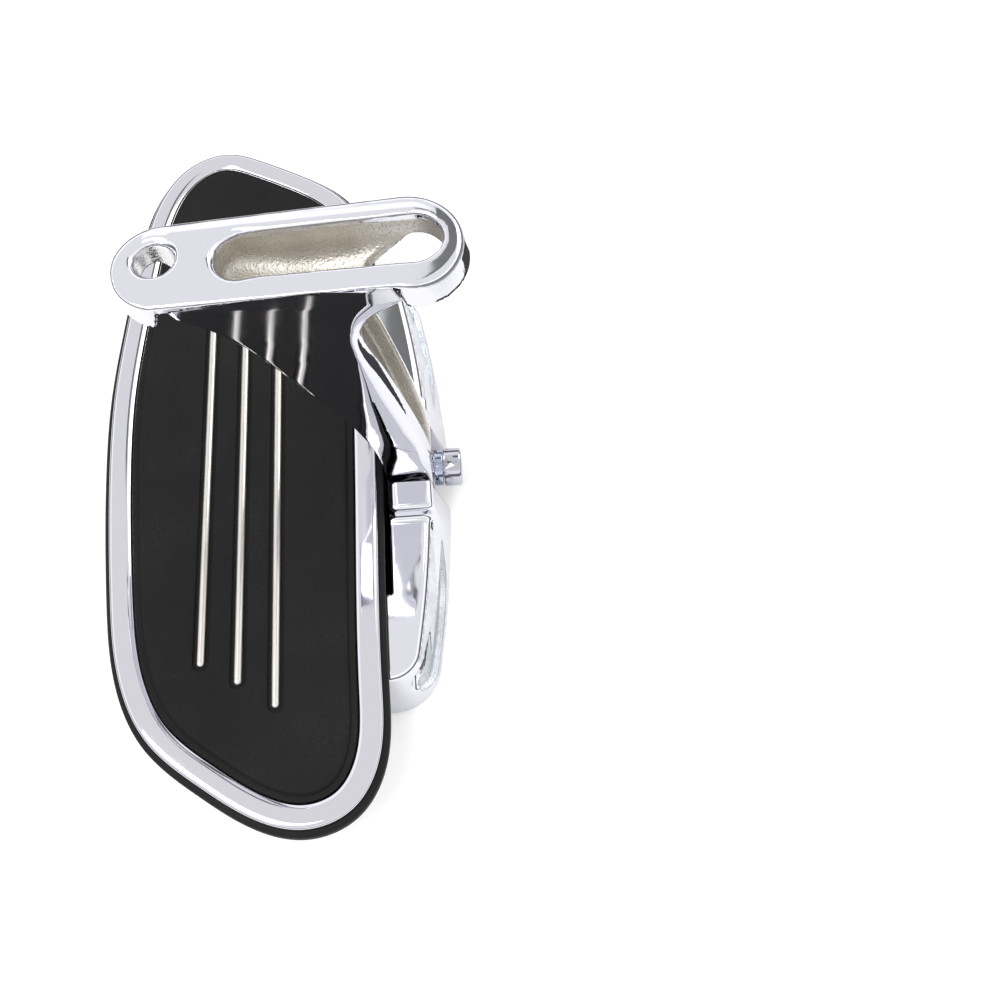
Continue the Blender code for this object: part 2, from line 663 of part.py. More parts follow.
def wall_point(place, height, depth):
    """A point on the bracket's outer wall: place runs along it from the pivot, depth goes in from the wall."""
    reach = BOW_APEX_X - BOW_END_X
    bow_radius = (reach ** 2 - BOW_END_RADIUS ** 2 + BOW_END_Y ** 2) / (2.0 * (reach - BOW_END_RADIUS))
    bow_x = BOW_APEX_X - bow_radius
    meet = math.atan2(BOW_END_Y, BOW_END_X - bow_x)
    step = wall_inset(height) + depth
    side = math.copysign(1.0, place)
    along = abs(place)
    if along < bow_radius * meet:
        angle = along / bow_radius
        return (bow_x + (bow_radius - step) * math.cos(angle),
                PIVOT_Y + side * (bow_radius - step) * math.sin(angle), height)
    angle = meet + (along - bow_radius * meet) / BOW_END_RADIUS
    return (BOW_END_X + (BOW_END_RADIUS - step) * math.cos(angle),
            PIVOT_Y + side * (BOW_END_Y + (BOW_END_RADIUS - step) * math.sin(angle)), height)


def make_wall_pocket(side):
    """Cutter for a cast pocket in the outer wall: pointed towards the pivot, round at the far end."""
    middle = 0.5 * (POCKET_LOW + POCKET_HIGH)
    half = 0.5 * (POCKET_HIGH - POCKET_LOW)
    stations = [
        (POCKET_TIP, 0.06, 1.4 * MM), (POCKET_TIP + 7 * MM, 0.42, 0.7 * MM), (POCKET_TIP + 17 * MM, 0.86, 0.0),
        (POCKET_TIP + 30 * MM, 1.0, 0.0), (POCKET_TIP + 44 * MM, 1.0, 0.0), (POCKET_TIP + 52 * MM, 1.0, 0.0),
        (POCKET_TIP + 58 * MM, 0.92, 0.0), (POCKET_TIP + 63 * MM, 0.66, 0.0), (POCKET_TIP + 66 * MM, 0.3, 0.0),
    ]
    rings = []
    for place, share, lift in stations:
        low = middle - half * share + lift
        high = middle + half * share + lift
        rings.append(np.array([
            wall_point(side * place, low, -3 * MM), wall_point(side * place, high, -3 * MM),
            wall_point(side * place, high - 0.8 * MM * share, POCKET_DEPTH),
            wall_point(side * place, low + 0.8 * MM * share, POCKET_DEPTH)]))
    return stack(f"wall_pocket_{side + 2}", rings, CUTTERS)


def make_pivot_bracket():
    """Bowed cast bracket: drafted outer wall, two lugs for the pin, feet that bolt under the pan."""
    shoulder = BOW_HEIGHT - BOW_SHOULDER * 0.8
    profile = [
        (0.0, 0.9 * MM), (1.0 * MM, wall_inset(1.0 * MM)), (shoulder, BOW_DRAFT),
        (shoulder + 1.2 * MM, BOW_DRAFT + 0.7 * MM), (BOW_HEIGHT - 0.3 * MM, BOW_DRAFT + 1.7 * MM),
        (BOW_HEIGHT, BOW_DRAFT + BOW_SHOULDER),
    ]
    rings = [flat_ring(bow_outline(step), height) for height, step in profile]
    bracket = stack("pivot_bracket", rings, PART, chrome())
    for side in (-1, 1):
        near, far = sorted((PIVOT_Y + side * (GAP_FACE - 1 * MM), PIVOT_Y + side * LUG_END))
        join(bracket, prism(f"lug_{side + 2}", lug_outline(), near, far, "XZ"))
        near, far = sorted((PIVOT_Y + side * FOOT_NEAR, PIVOT_Y + side * FOOT_FAR))
        foot = box(f"foot_{side + 2}", (FOOT_X, near, FOOT_LOW), (BOW_INNER_X + 2 * MM, far, FOOT_TOP))
        soften(foot, 1.5 * MM, 2)
        join(bracket, foot)
    near_x, far_x = GROOVE_NEAR_BOARD_X
    for side in (-1, 1):
        near, far = sorted((PIVOT_Y + side * GAP_FACE, PIVOT_Y + side * GROOVE_NEAR_BOARD_HALF))
        cut(bracket, box(f"side_groove_{side + 2}", (near_x, near, SIDE_GROOVE_LOW), (far_x, far, 2 * BOW_HEIGHT)))
        cut(bracket, make_wall_pocket(side), *make_underside_hollow(side))
        for place in SCREW_PLACES:
            start = (SCREW_X, PIVOT_Y + side * place, FOOT_LOW - 3 * MM)
            cut(bracket, cylinder("foot_hole", start, (0, 0, 1), 20 * MM, SCREW_RADIUS + GAP, 24))
    cut(bracket, box("clevis_gap", (BRIDGE_FACE_X, PIVOT_Y - GAP_FACE, -3 * MM),
                     (120 * MM, PIVOT_Y + GAP_FACE, 60 * MM)))
    start = (PIVOT_X, PIVOT_Y - LUG_END - 8 * MM, PIVOT_Z)
    cut(bracket, cylinder("pin_bore", start, (0, 1, 0), 2 * (LUG_END + 8 * MM), PIN_RADIUS + RUNNING_GAP))
    return bracket


def lug_outline():
    """A lug seen along the hinge: a block with a rounded head, its outer side following the wall's draft."""
    left, right = PIVOT_X - LUG_HALF_WIDTH, PIVOT_X + LUG_HALF_WIDTH
    round_head = 3.2 * MM
    head_left = arc((left + round_head, LUG_TOP - round_head), round_head, 180.0, 90.0, 5)
    head_right = arc((right - round_head, LUG_TOP - round_head), round_head, 90.0, 20.0, 5)
    foot = [(BOW_APEX_X - 2.2 * MM, 1.0 * MM), (BOW_APEX_X - 4 * MM, 0.6 * MM), (left, 0.6 * MM)]
    return np.vstack([head_left, head_right, foot])


def make_underside_hollow(side):
    """Cutters that hollow each arm of the bow from below, where the pin is fitted and held."""
    near = LUG_END - 1.0 * MM
    near_y, far_y = sorted((PIVOT_Y + side * near, PIVOT_Y + side * (near + 6 * MM)))
    chamber = box(f"clip_chamber_{side + 2}", (PIVOT_X - 7.2 * MM, near_y, -2 * MM),
                  (PIVOT_X + 7.2 * MM, far_y, PIVOT_Z + 7.0 * MM))
    near_y, far_y = sorted((PIVOT_Y + side * (near + 5 * MM), PIVOT_Y + side * (BOW_END_Y + 5 * MM)))
    channel = box(f"bow_channel_{side + 2}", (PIVOT_X - 6.5 * MM, near_y, -2 * MM),
                  (PIVOT_X - 0.8 * MM, far_y, PIVOT_Z + 4.0 * MM))
    return chamber, channel


def soften(obj, width, segments):
    """Rounds an object's edges."""
    bevel = obj.modifiers.new("soften", "BEVEL")
    bevel.width = width
    bevel.segments = segments
    bevel.limit_method = "ANGLE"


def make_bracket_screw(number, y):
    """Socket screw that holds a foot of the bracket to the pan."""
    head_top = FOOT_LOW - GAP
    head_low = head_top - SCREW_HEAD_HEIGHT
    tip = FOOT_TOP + 4.0 * MM
    screw = turned(f"bracket_screw_{number}", [
        (0.0, tip), (SCREW_RADIUS - 0.5 * MM, tip), (SCREW_RADIUS, tip - 0.5 * MM), (SCREW_RADIUS, head_top),
        (SCREW_HEAD_RADIUS, head_top), (SCREW_HEAD_RADIUS, head_low + 0.8 * MM),
        (SCREW_HEAD_RADIUS - 0.8 * MM, head_low), (0.0, head_low)], zinc_steel(), "Z", (SCREW_X, y, 0.0), 24)
    start = (SCREW_X, y, head_low - 2 * MM)
    cut(screw, cylinder("screw_socket", start, (0, 0, 1), 4.2 * MM, 2.9 * MM, 6))


def make_hinge_pin():
    """Steel pin with a track for the drag ball and grooves for its clips."""
    half = LUG_END + CLIP_THICKNESS + 2.6 * MM
    track = 2.2 * MM
    groove = LUG_END + GAP
    deep = PIN_RADIUS - BALL_TRACK_DEPTH
    wide = groove + CLIP_THICKNESS + 0.2 * MM
    upper = [(0.0, half), (PIN_RADIUS - 0.6 * MM, half), (PIN_RADIUS, half - 0.6 * MM), (PIN_RADIUS, wide),
             (deep, wide), (deep, groove - 0.1 * MM), (PIN_RADIUS, groove - 0.1 * MM), (PIN_RADIUS, track),
             (PIN_RADIUS - 0.6 * BALL_TRACK_DEPTH, 0.6 * track), (deep, 0.2 * track)]
    lower = [(radius, -along) for radius, along in reversed(upper)]
    turned("hinge_pin", upper + lower, zinc_steel(), "Y", (PIVOT_X, PIVOT_Y, PIVOT_Z))


def make_pin_clip(number, side):
    """Open retaining clip in the pin's groove."""
    along = LUG_END + GAP + CLIP_THICKNESS / 2.0
    inner = PIN_RADIUS - BALL_TRACK_DEPTH + GAP
    mouth = 2.4 * MM
    start = math.degrees(math.asin(mouth / CLIP_RADIUS)) - 90.0
    outer_arc = arc((PIVOT_X, PIVOT_Z), CLIP_RADIUS, start, 180.0 - start - 0.0, 20)
    start = math.degrees(math.asin(mouth / (inner + 0.9 * MM))) - 90.0
    inner_arc = arc((PIVOT_X, PIVOT_Z), inner, 180.0 - start, start, 16)
    y = PIVOT_Y + side * along
    half = CLIP_THICKNESS / 2.0
    prism(f"pin_clip_{number}", np.vstack([outer_arc, inner_arc]), y - half, y + half, "XZ", PART, zinc_steel())


def make_thrust_washer(number, side):
    """Thin washer between the knuckle and a lug."""
    low = KNUCKLE_HALF + GAP
    high = low + THRUST_THICKNESS
    bore = PIN_RADIUS + GAP
    turned(f"thrust_washer_{number}", [
        (bore, high), (THRUST_RADIUS, high), (THRUST_RADIUS, low), (bore, low), (bore, high)],
        stainless(), "Y", (PIVOT_X, PIVOT_Y, PIVOT_Z)).rotation_euler = (-side * math.pi / 2.0, 0.0, 0.0)


# The mount arm

def stretched(edge):
    """A web edge with its heights stretched to reach from the knuckle to the flange."""
    head = FLANGE_TOP - WEB_HEAD_DEPTH
    height = WEB_FOOT + (edge[:, 1] - WEB_FOOT) * (head - WEB_FOOT) / (WEB_HEAD - WEB_FOOT)
    return np.column_stack([edge[:, 0], height])


def web_outline():
    """The web seen along the hinge, with the radius of its faces' edges at each point.

    Both curved edges run into the knuckle, which has a square stop heel.
    """
    board_edge = stretched(open_spline(WEB_BOARD_EDGE, WEB_STEPS))
    hinge_edge = stretched(open_spline(WEB_HINGE_EDGE, WEB_STEPS))
    left, right = PIVOT_X - KNUCKLE_RADIUS, PIVOT_X + KNUCKLE_RADIUS
    board_edge[-1] = (left, board_edge[-1][1])
    low = PIVOT_Z - KNUCKLE_RADIUS
    bottom = arc((PIVOT_X, PIVOT_Z), KNUCKLE_RADIUS, 180.0, 270.0, 10)
    heel = arc((right - HEEL_RADIUS, low + HEEL_RADIUS), HEEL_RADIUS, -90.0, 0.0, 4)
    side = [(right, PIVOT_Z - 2 * MM), (right, PIVOT_Z + 4 * MM)]
    knuckle = np.vstack([bottom, heel, side])
    radius = np.concatenate([
        read_off(BOARD_EDGE_RADII, board_edge[:, 1]), np.full(len(knuckle), KNUCKLE_EDGE_RADIUS),
        read_off(HINGE_EDGE_RADII, hinge_edge[:, 1])])
    outline = np.vstack([board_edge, knuckle, hinge_edge])
    top = outline[:, 1].max() - WEB_TOP_CLEARANCE
    return outline, radius * np.clip((top - outline[:, 1]) / WEB_TOP_FADE, 0.03, 1.0)


def web_rings(outline, radius, sides=3):
    """Rings across the web's thickness, with the edges of its faces rounded."""
    rings = []
    turns = [math.pi / 2 * k / sides for k in range(sides + 1)]
    for side in (-1, 1):
        for turn in (reversed(turns) if side < 0 else turns):
            drawn = inset(outline, radius * (1.0 - math.cos(turn)))
            y = PIVOT_Y + side * (KNUCKLE_HALF - radius * (1.0 - math.sin(turn)))
            rings.append(np.column_stack([drawn[:, 0], y, drawn[:, 1]]))
    return rings


def web_reach(x, z, full):
    """How far a face of the web lies from the pivot's middle, where it reaches out in full at the waist."""
    at_top = full - WEB_TURN * max(0.0, WEB_TURN_X - x)
    share = min(1.0, max(0.0, (z - WEB_LEAN[0]) / (WEB_LEAN[1] - WEB_LEAN[0])))
    return KNUCKLE_HALF + share * (at_top - KNUCKLE_HALF)


def shape_web_faces(obj):
    """Brings the web's front flush with the flange's edge, and leaves the knuckle's faces square."""
    shape = bmesh.new()
    shape.from_mesh(obj.data)
    planes = [((0.0, 0.0, height), (0.0, 0.0, 1.0)) for height in WEB_LEAN]
    planes += [((place, 0.0, 0.0), (1.0, 0.0, 0.0)) for place in (WEB_TURN_X, FLANGE_START_X)]
    for point, normal in planes:
        everything = list(shape.verts) + list(shape.edges) + list(shape.faces)
        bmesh.ops.bisect_plane(shape, geom=everything, plane_co=point, plane_no=normal)
    middle = PIVOT_Y + FLANGE_START_SIDE
    for corner in shape.verts:
        side = math.copysign(1.0, corner.co.y - PIVOT_Y)
        reach = web_reach(corner.co.x, corner.co.z, WEB_FRONT if side < 0 else WEB_BACK)
        y = corner.co.y + side * (reach - KNUCKLE_HALF)
        past = max(0.0, FLANGE_START_X - corner.co.x)
        limit = math.sqrt(FLANGE_START_RADIUS ** 2 - past ** 2) - 0.4 * MM
        corner.co.y = min(middle + limit, max(middle - limit, y))
    shape.to_mesh(obj.data)
    shape.free()


def flange_outline():
    """The flange from above."""
    start = (FLANGE_START_X, PIVOT_Y + FLANGE_START_SIDE)
    finish = (FLANGE_FINISH_X, PIVOT_Y + FLANGE_FINISH_SIDE)
    return divided(stadium(start, FLANGE_START_RADIUS, finish, FLANGE_FINISH_RADIUS, 11), FLANGE_CHORD)


def flange_share(x):
    """Run along the flange: 0 at its thin end, 1 at its thick one."""
    return (x - FLANGE_START_X) / (FLANGE_FINISH_X - FLANGE_START_X)


def flange_height(x, depth_share):
    """Height on the flange: its top tilts a little, and it thickens towards the hinge."""
    thickness = FLANGE_THIN + (FLANGE_THICK - FLANGE_THIN) * flange_share(x)
    return FLANGE_TOP + (x - FLANGE_START_X) * math.tan(FLANGE_TILT) - thickness * depth_share


def flange_flare(outline):
    """How far the flange's wall stands out at its foot; none where the web's front is flush with it."""
    flare = FLANGE_THIN_FLARE + (FLANGE_THICK_FLARE - FLANGE_THIN_FLARE) * flange_share(outline[:, 0])
    places, shares = np.array(FLANGE_FLUSH).T
    flush = np.interp(outline[:, 0], places * MM, shares)
    return np.where(outline[:, 1] < PIVOT_Y, flare * flush, flare)


def make_flange():
    """The long bolting flange: rounded rim, and a wall that widens downwards."""
    outline = flange_outline()
    flare = flange_flare(outline)
    soft = FLANGE_EDGE_RADIUS
    profile = [(1.0, 0.8 * MM - flare), (0.93, -flare), (0.2, 0.0), (0.10, 0.35 * soft), (0.0, soft)]
    rings = []
    for depth_share, step in profile:
        drawn = inset(outline, step)
        rings.append(np.column_stack([drawn, flange_height(drawn[:, 0], depth_share)]))
    return stack("flange_body", rings, CUTTERS)


def bevelled_cutter(name, outline):
    """A cutter square to the flange's face that opens out at the rim."""
    rings = []
    for depth, step in ((-40 * MM, 0.0), (-RIM_BEVEL, 0.0), (6 * MM, -RIM_BEVEL - 6 * MM)):
        drawn = inset(outline, step)
        run = drawn[:, 0] - FLANGE_START_X
        x = FLANGE_START_X + run * math.cos(FLANGE_TILT) - depth * math.sin(FLANGE_TILT)
        z = FLANGE_TOP + run * math.sin(FLANGE_TILT) + depth * math.cos(FLANGE_TILT)
        rings.append(np.column_stack([x, drawn[:, 1], z]))
    return stack(name, rings, CUTTERS)


def make_side_pocket():
    """Cutter for the long pocket down the web's hinge edge, narrower towards its round lower end."""
    curve = stretched(open_spline(WEB_HINGE_EDGE, 8))
    heights = np.linspace(FLANGE_TOP - SIDE_POCKET_TOP_DEPTH, SIDE_POCKET_LOW, 17)
    edge = np.column_stack([np.interp(heights, curve[:, 1], curve[:, 0]), heights])
    along = np.gradient(edge, axis=0)
    along /= np.linalg.norm(along, axis=1)[:, None]
    outward = np.column_stack([-along[:, 1], along[:, 0]])
    travel = np.concatenate([[0.0], np.cumsum(np.linalg.norm(np.diff(edge, axis=0), axis=1))])
    left = np.clip(1.0 - (travel[-1] - travel) / SIDE_POCKET_END_RADIUS, 0.0, 0.97)
    half = read_off(SIDE_POCKET_HALVES, heights) * np.sqrt(1.0 - left ** 2)
    rings = []
    for place, out, width in zip(edge, outward, half):
        floor = place - out * SIDE_POCKET_DEPTH
        mouth = place + out * 6 * MM
        taper = 0.86 * width
        rings.append(np.array([
            (mouth[0], PIVOT_Y - width, mouth[1]), (mouth[0], PIVOT_Y + width, mouth[1]),
            (floor[0], PIVOT_Y + taper, floor[1]), (floor[0], PIVOT_Y - taper, floor[1])]))
    return stack("side_pocket", rings, CUTTERS)


def make_slot_cutter():
    """Cutter for the adjusting slot: open below at the hinge's end, with a trough's floor over the web."""
    start = (SLOT_START_X, PIVOT_Y + SLOT_START_SIDE)
    finish = (SLOT_FINISH_X, PIVOT_Y + SLOT_FINISH_SIDE)
    slot = bevelled_cutter("adjusting_slot", stadium(start, SLOT_START_RADIUS, finish, SLOT_FINISH_RADIUS, 12))
    floor = open_spline(SLOT_FLOOR_POINTS, 2) + (0.0, FLANGE_TOP)
    low = FLANGE_TOP - SLOT_FLOOR_DEPTH
    reach = 2.0 * FLANGE_FINISH_RADIUS
    corners = [(floor[-1][0], low), (FLANGE_START_X - reach, low), (FLANGE_START_X - reach, floor[0][1])]
    keep = prism("slot_floor", np.vstack([floor, corners]), PIVOT_Y - reach, PIVOT_Y + reach, "XZ")
    cut(slot, keep)
    return slot


def make_mount_arm():
    """The cast arm: web, flange, bolt hole, trough-floored slot, side pocket and hinge bore."""
    arm = stack("mount_arm", web_rings(*web_outline()), PART, chrome())
    shape_web_faces(arm)
    join(arm, make_flange())
    hole = arc((BOLT_HOLE_X, PIVOT_Y + BOLT_HOLE_SIDE), BOLT_HOLE_RADIUS, 0.0, 360.0 - 360.0 / 28, 27)
    cut(arm, bevelled_cutter("bolt_hole", hole))
    cut(arm, make_slot_cutter())
    cut(arm, make_side_pocket())
    start = (PIVOT_X, PIVOT_Y - 30 * MM, PIVOT_Z)
    cut(arm, cylinder("knuckle_bore", start, (0, 1, 0), 60 * MM, PIN_RADIUS + RUNNING_GAP))
    start = (PIVOT_X, PIVOT_Y, PIVOT_Z)
    cut(arm, cylinder("plug_bore", start, (1, 0, 0), 20 * MM, PLUG_SHANK_RADIUS + GAP))
    return arm


def make_drag_plug():
    """Screwed plunger in the knuckle: cap, collar, spring and ball."""
    centre = (PIVOT_X, PIVOT_Y, PIVOT_Z)
    seat = KNUCKLE_RADIUS + GAP
    collar_end = seat + COLLAR_LENGTH
    head_low = collar_end + GAP
    head_end = head_low + PLUG_HEAD_LENGTH
    tip = PIN_RADIUS + PLUG_TIP
    floor = head_end - SOCKET_DEPTH - 1.6 * MM
    shank, bore = PLUG_SHANK_RADIUS, PLUG_BORE_RADIUS
    soft = 1.0 * MM
    plug = turned("drag_plug", [
        (0.0, head_end), (PLUG_HEAD_RADIUS - soft, head_end), (PLUG_HEAD_RADIUS - 0.3 * soft, head_end - 0.3 * soft),
        (PLUG_HEAD_RADIUS, head_end - soft), (PLUG_HEAD_RADIUS, head_low + 0.4 * MM),
        (PLUG_HEAD_RADIUS - 0.4 * MM, head_low), (shank, head_low), (shank, tip), (bore, tip), (bore, floor),
        (0.0, floor)], chrome(), "X", centre)
    start = (PIVOT_X + head_end - SOCKET_DEPTH, PIVOT_Y, PIVOT_Z)
    cut(plug, cylinder("plug_socket", start, (1, 0, 0), 6 * MM, SOCKET_RADIUS, 6))
    inner = shank + GAP
    turned("lock_collar", [
        (inner, collar_end), (COLLAR_RADIUS - 0.5 * MM, collar_end), (COLLAR_RADIUS, collar_end - 0.5 * MM),
        (COLLAR_RADIUS, seat + 0.5 * MM), (COLLAR_RADIUS - 0.5 * MM, seat), (inner, seat), (inner, collar_end)],
        chrome(), "X", centre)
    ball_x = PIN_RADIUS - BALL_TRACK_DEPTH + BALL_RADIUS + GAP
    make_drag_ball(ball_x)
    make_drag_spring(ball_x + BALL_RADIUS + GAP, floor - GAP)


def make_drag_ball(place):
    """Steel ball that the spring presses on the pin."""
    shape = bmesh.new()
    bmesh.ops.create_uvsphere(shape, u_segments=14, v_segments=9, radius=BALL_RADIUS)
    bmesh.ops.translate(shape, vec=(PIVOT_X + place, PIVOT_Y, PIVOT_Z), verts=shape.verts)
    mesh = bpy.data.meshes.new("drag_ball")
    shape.to_mesh(mesh)
    shape.free()
    add_object("drag_ball", mesh, PART, zinc_steel())


def make_drag_spring(start, end):
    """Coil spring behind the ball."""
    radius = PLUG_BORE_RADIUS - GAP - SPRING_WIRE
    steps = SPRING_SIDES * SPRING_TURNS
    curve = bpy.data.curves.new("drag_spring", "CURVE")
    curve.dimensions = "3D"
    curve.bevel_depth = SPRING_WIRE
    curve.bevel_resolution = 1
    curve.use_fill_caps = True
    spline = curve.splines.new("POLY")
    spline.points.add(steps)
    for number, point in enumerate(spline.points):
        angle = 2.0 * math.pi * number / SPRING_SIDES
        x = start + SPRING_WIRE + (end - start - 2.0 * SPRING_WIRE) * number / steps
        point.co = (PIVOT_X + x, PIVOT_Y + radius * math.cos(angle), PIVOT_Z + radius * math.sin(angle), 1.0)
    obj = bpy.data.objects.new("drag_spring", curve)
    PART.objects.link(obj)
    curve.materials.append(zinc_steel())


def smooth_round_pieces():
    """Smooth shading with sharp edges kept."""
    for obj in PART.objects:
        if obj.type == "MESH":
            obj.data.shade_smooth()
            obj.data.set_sharp_from_angle(angle=math.radians(35))


def main():
    start_scene()
    outline = closed_spline(OUTLINE_POINTS, OUTLINE_STEPS)
    make_base_pan(outline)
    make_rubber_base(outline)
    make_trim_ring(outline)
    make_tread_pad(outline)
    make_backing_plate(outline)
    for number, (x, start) in enumerate(zip(STRIP_X, STRIP_LOW_END), 1):
        make_tread_strip(number, x, start)
    for number, (x, y) in enumerate(stud_places(), 1):
        make_pad_nut(number, x, y)
    make_pivot_bracket()
    places = [PIVOT_Y + side * place for side in (-1, 1) for place in SCREW_PLACES]
    for number, y in enumerate(places, 1):
        make_bracket_screw(number, y)
    make_hinge_pin()
    for number, side in enumerate((-1, 1), 1):
        make_pin_clip(number, side)
        make_thrust_washer(number, side)
    make_mount_arm()
    make_drag_plug()
    smooth_round_pieces()


main()
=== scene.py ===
"""Looks of the folding passenger floorboard: its castings, rubber, bright metal, fasteners and the studio.

Shapes are worked out in millimetres in the part's frame and put into the meshes in metres. Castings are
implicit solids: a signed distance field, negative inside, is skinned on a grid and its points are moved
onto the surface. Everything else is a profile carried round an outline or an axis.
"""

from __future__ import annotations

import logging
import math
from dataclasses import dataclass, field
from enum import Enum

import bpy
import numpy as np
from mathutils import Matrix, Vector

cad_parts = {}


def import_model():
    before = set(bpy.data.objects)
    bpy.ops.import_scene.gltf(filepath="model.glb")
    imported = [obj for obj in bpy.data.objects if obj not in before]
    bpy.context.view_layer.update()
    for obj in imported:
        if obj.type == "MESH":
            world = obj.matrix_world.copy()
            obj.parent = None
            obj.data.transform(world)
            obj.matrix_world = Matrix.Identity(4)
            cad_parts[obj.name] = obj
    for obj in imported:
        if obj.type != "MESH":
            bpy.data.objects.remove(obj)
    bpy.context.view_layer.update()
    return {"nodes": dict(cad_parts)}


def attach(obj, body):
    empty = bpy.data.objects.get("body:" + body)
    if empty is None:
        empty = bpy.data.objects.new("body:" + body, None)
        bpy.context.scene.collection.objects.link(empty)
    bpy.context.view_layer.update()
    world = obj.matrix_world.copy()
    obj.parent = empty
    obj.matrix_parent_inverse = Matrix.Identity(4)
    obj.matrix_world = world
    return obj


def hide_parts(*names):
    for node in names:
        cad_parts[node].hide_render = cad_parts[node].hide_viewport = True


MM = 0.001
LOG = logging.getLogger("floorboard")

OUTLINE_POINTS = [
    (53.5, -40.0), (53.2, -108.0), (50.6, -138.0), (41.5, -152.3), (24.5, -158.3), (6.0, -153.2),
    (-13.0, -140.6), (-33.0, -122.6), (-43.8, -101.0), (-50.2, -64.0), (-54.4, -5.0), (-54.6, 28.0),
    (-51.0, 70.0), (-45.8, 112.0), (-38.2, 137.5), (-25.5, 153.0), (-10.5, 157.8), (6.0, 152.0),
    (24.5, 141.6), (41.0, 128.8), (50.2, 113.5), (53.6, 80.0), (53.9, 20.0),
]

PIVOT = np.array([67.3, -7.5, 12.0])
PAN_TOP = 23.7
RUBBER_FLOOR = 24.0
BAND_TOP = 29.0
RING_FLOOR = 29.3
RING_TOP = 32.0
TREAD_TOP = 32.5
GAP = 0.3
PIN_RADIUS = 4.0
LUG_END = 26.8
SCREW_X = 44.5
SCREW_PLACES = (72.5, 85.5)
STUD_X = 22.0
STUD_Y = 78.0
BORE_RADIUS = 3.3
BORE_EDGE = 0.4
BEVEL_SLOPE = 0.7071


class Body(Enum):
    """The two rigid bodies of the frame."""

    BOARD = "board"
    ARM = "arm"


class Axis(Enum):
    """The axis a turned piece is turned about."""

    X = 0
    Y = 1
    Z = 2


# Curves and outlines

def closed_spline(points: list[tuple[float, float]], steps: int) -> np.ndarray:
    """Smooth closed curve: a periodic cubic spline over the chord length.

    Args:
        points: the curve's knots, in order.
        steps: chords in each span.

    Returns:
        Points on the curve, one row each.
    """
    knots = np.asarray(points, float)
    count = len(knots)
    spans = np.linalg.norm(np.roll(knots, -1, 0) - knots, axis=1)
    before = np.roll(spans, 1)
    index = np.arange(count)
    system = np.zeros((count, count))
    system[index, index] = 2.0 * (before + spans)
    system[index, (index - 1) % count] += before
    system[index, (index + 1) % count] += spans
    rise = (np.roll(knots, -1, 0) - knots) / spans[:, None]
    bend = np.linalg.solve(system, 6.0 * (rise - np.roll(rise, 1, 0)))
    share = (np.arange(steps) / steps)[None, :, None]
    rest = 1.0 - share
    start, end = knots[:, None], np.roll(knots, -1, 0)[:, None]
    bend_start, bend_end = bend[:, None], np.roll(bend, -1, 0)[:, None]
    bow = ((rest**3 - rest) * bend_start + (share**3 - share) * bend_end) * spans[:, None, None] ** 2 / 6.0
    return (rest * start + share * end + bow).reshape(-1, 2)


def open_spline(points: list[tuple[float, float]], steps: int) -> np.ndarray:
    """Smooth open curve through its knots: Catmull-Rom spans.

    Args:
        points: the curve's knots, in order.
        steps: chords in each span.

    Returns:
        Points on the curve, both ends included.
    """
    knots = np.asarray(points, float)
    padded = np.vstack([2 * knots[0] - knots[1], knots, 2 * knots[-1] - knots[-2]])
    p0, p1, p2, p3 = (padded[i : len(padded) - 3 + i, None] for i in range(4))
    t = (np.arange(steps) / steps)[None, :, None]
    curve = 0.5 * (
        2 * p1 + (p2 - p0) * t + (2 * p0 - 5 * p1 + 4 * p2 - p3) * t**2 + (3 * p1 - p0 - 3 * p2 + p3) * t**3
    )
    return np.vstack([curve.reshape(-1, 2), knots[-1:]])


def arc(centre: tuple[float, float], radius: float, start: float, end: float, steps: int) -> np.ndarray:
    """Points on an arc from one angle to another, in degrees, both ends included."""
    angles = np.radians(np.linspace(start, end, steps + 1))
    return np.column_stack([centre[0] + radius * np.cos(angles), centre[1] + radius * np.sin(angles)])


def inward(outline: np.ndarray) -> np.ndarray:
    """Unit vectors that point into a closed outline, across its central-difference tangents.

    Args:
        outline: points on the outline, one row each.

    Returns:
        One unit vector for each point.
    """
    along = np.roll(outline, -1, 0) - np.roll(outline, 1, 0)
    along /= np.linalg.norm(along, axis=1)[:, None]
    x, y = outline.T
    turn = 1.0 if np.sum(x * np.roll(y, -1) - np.roll(x, -1) * y) > 0 else -1.0
    return np.column_stack([-along[:, 1], along[:, 0]]) * turn


def stadium(start: tuple, start_radius: float, end: tuple, end_radius: float, steps: int) -> np.ndarray:
    """Outline of two round ends joined by their outer tangents.

    Args:
        start, end: the centres of the ends.
        start_radius, end_radius: their radii.
        steps: chords in each end.

    Returns:
        Points on the outline, counter-clockwise.
    """
    run, side = end[0] - start[0], end[1] - start[1]
    turn = math.degrees(math.atan2(side, run))
    lean = math.degrees(math.asin((end_radius - start_radius) / math.hypot(run, side)))
    right = arc(end, end_radius, turn - 90 - lean, turn + 90 + lean, steps)
    left = arc(start, start_radius, turn + 90 + lean, turn + 270 - lean, steps)
    return np.vstack([right, left])


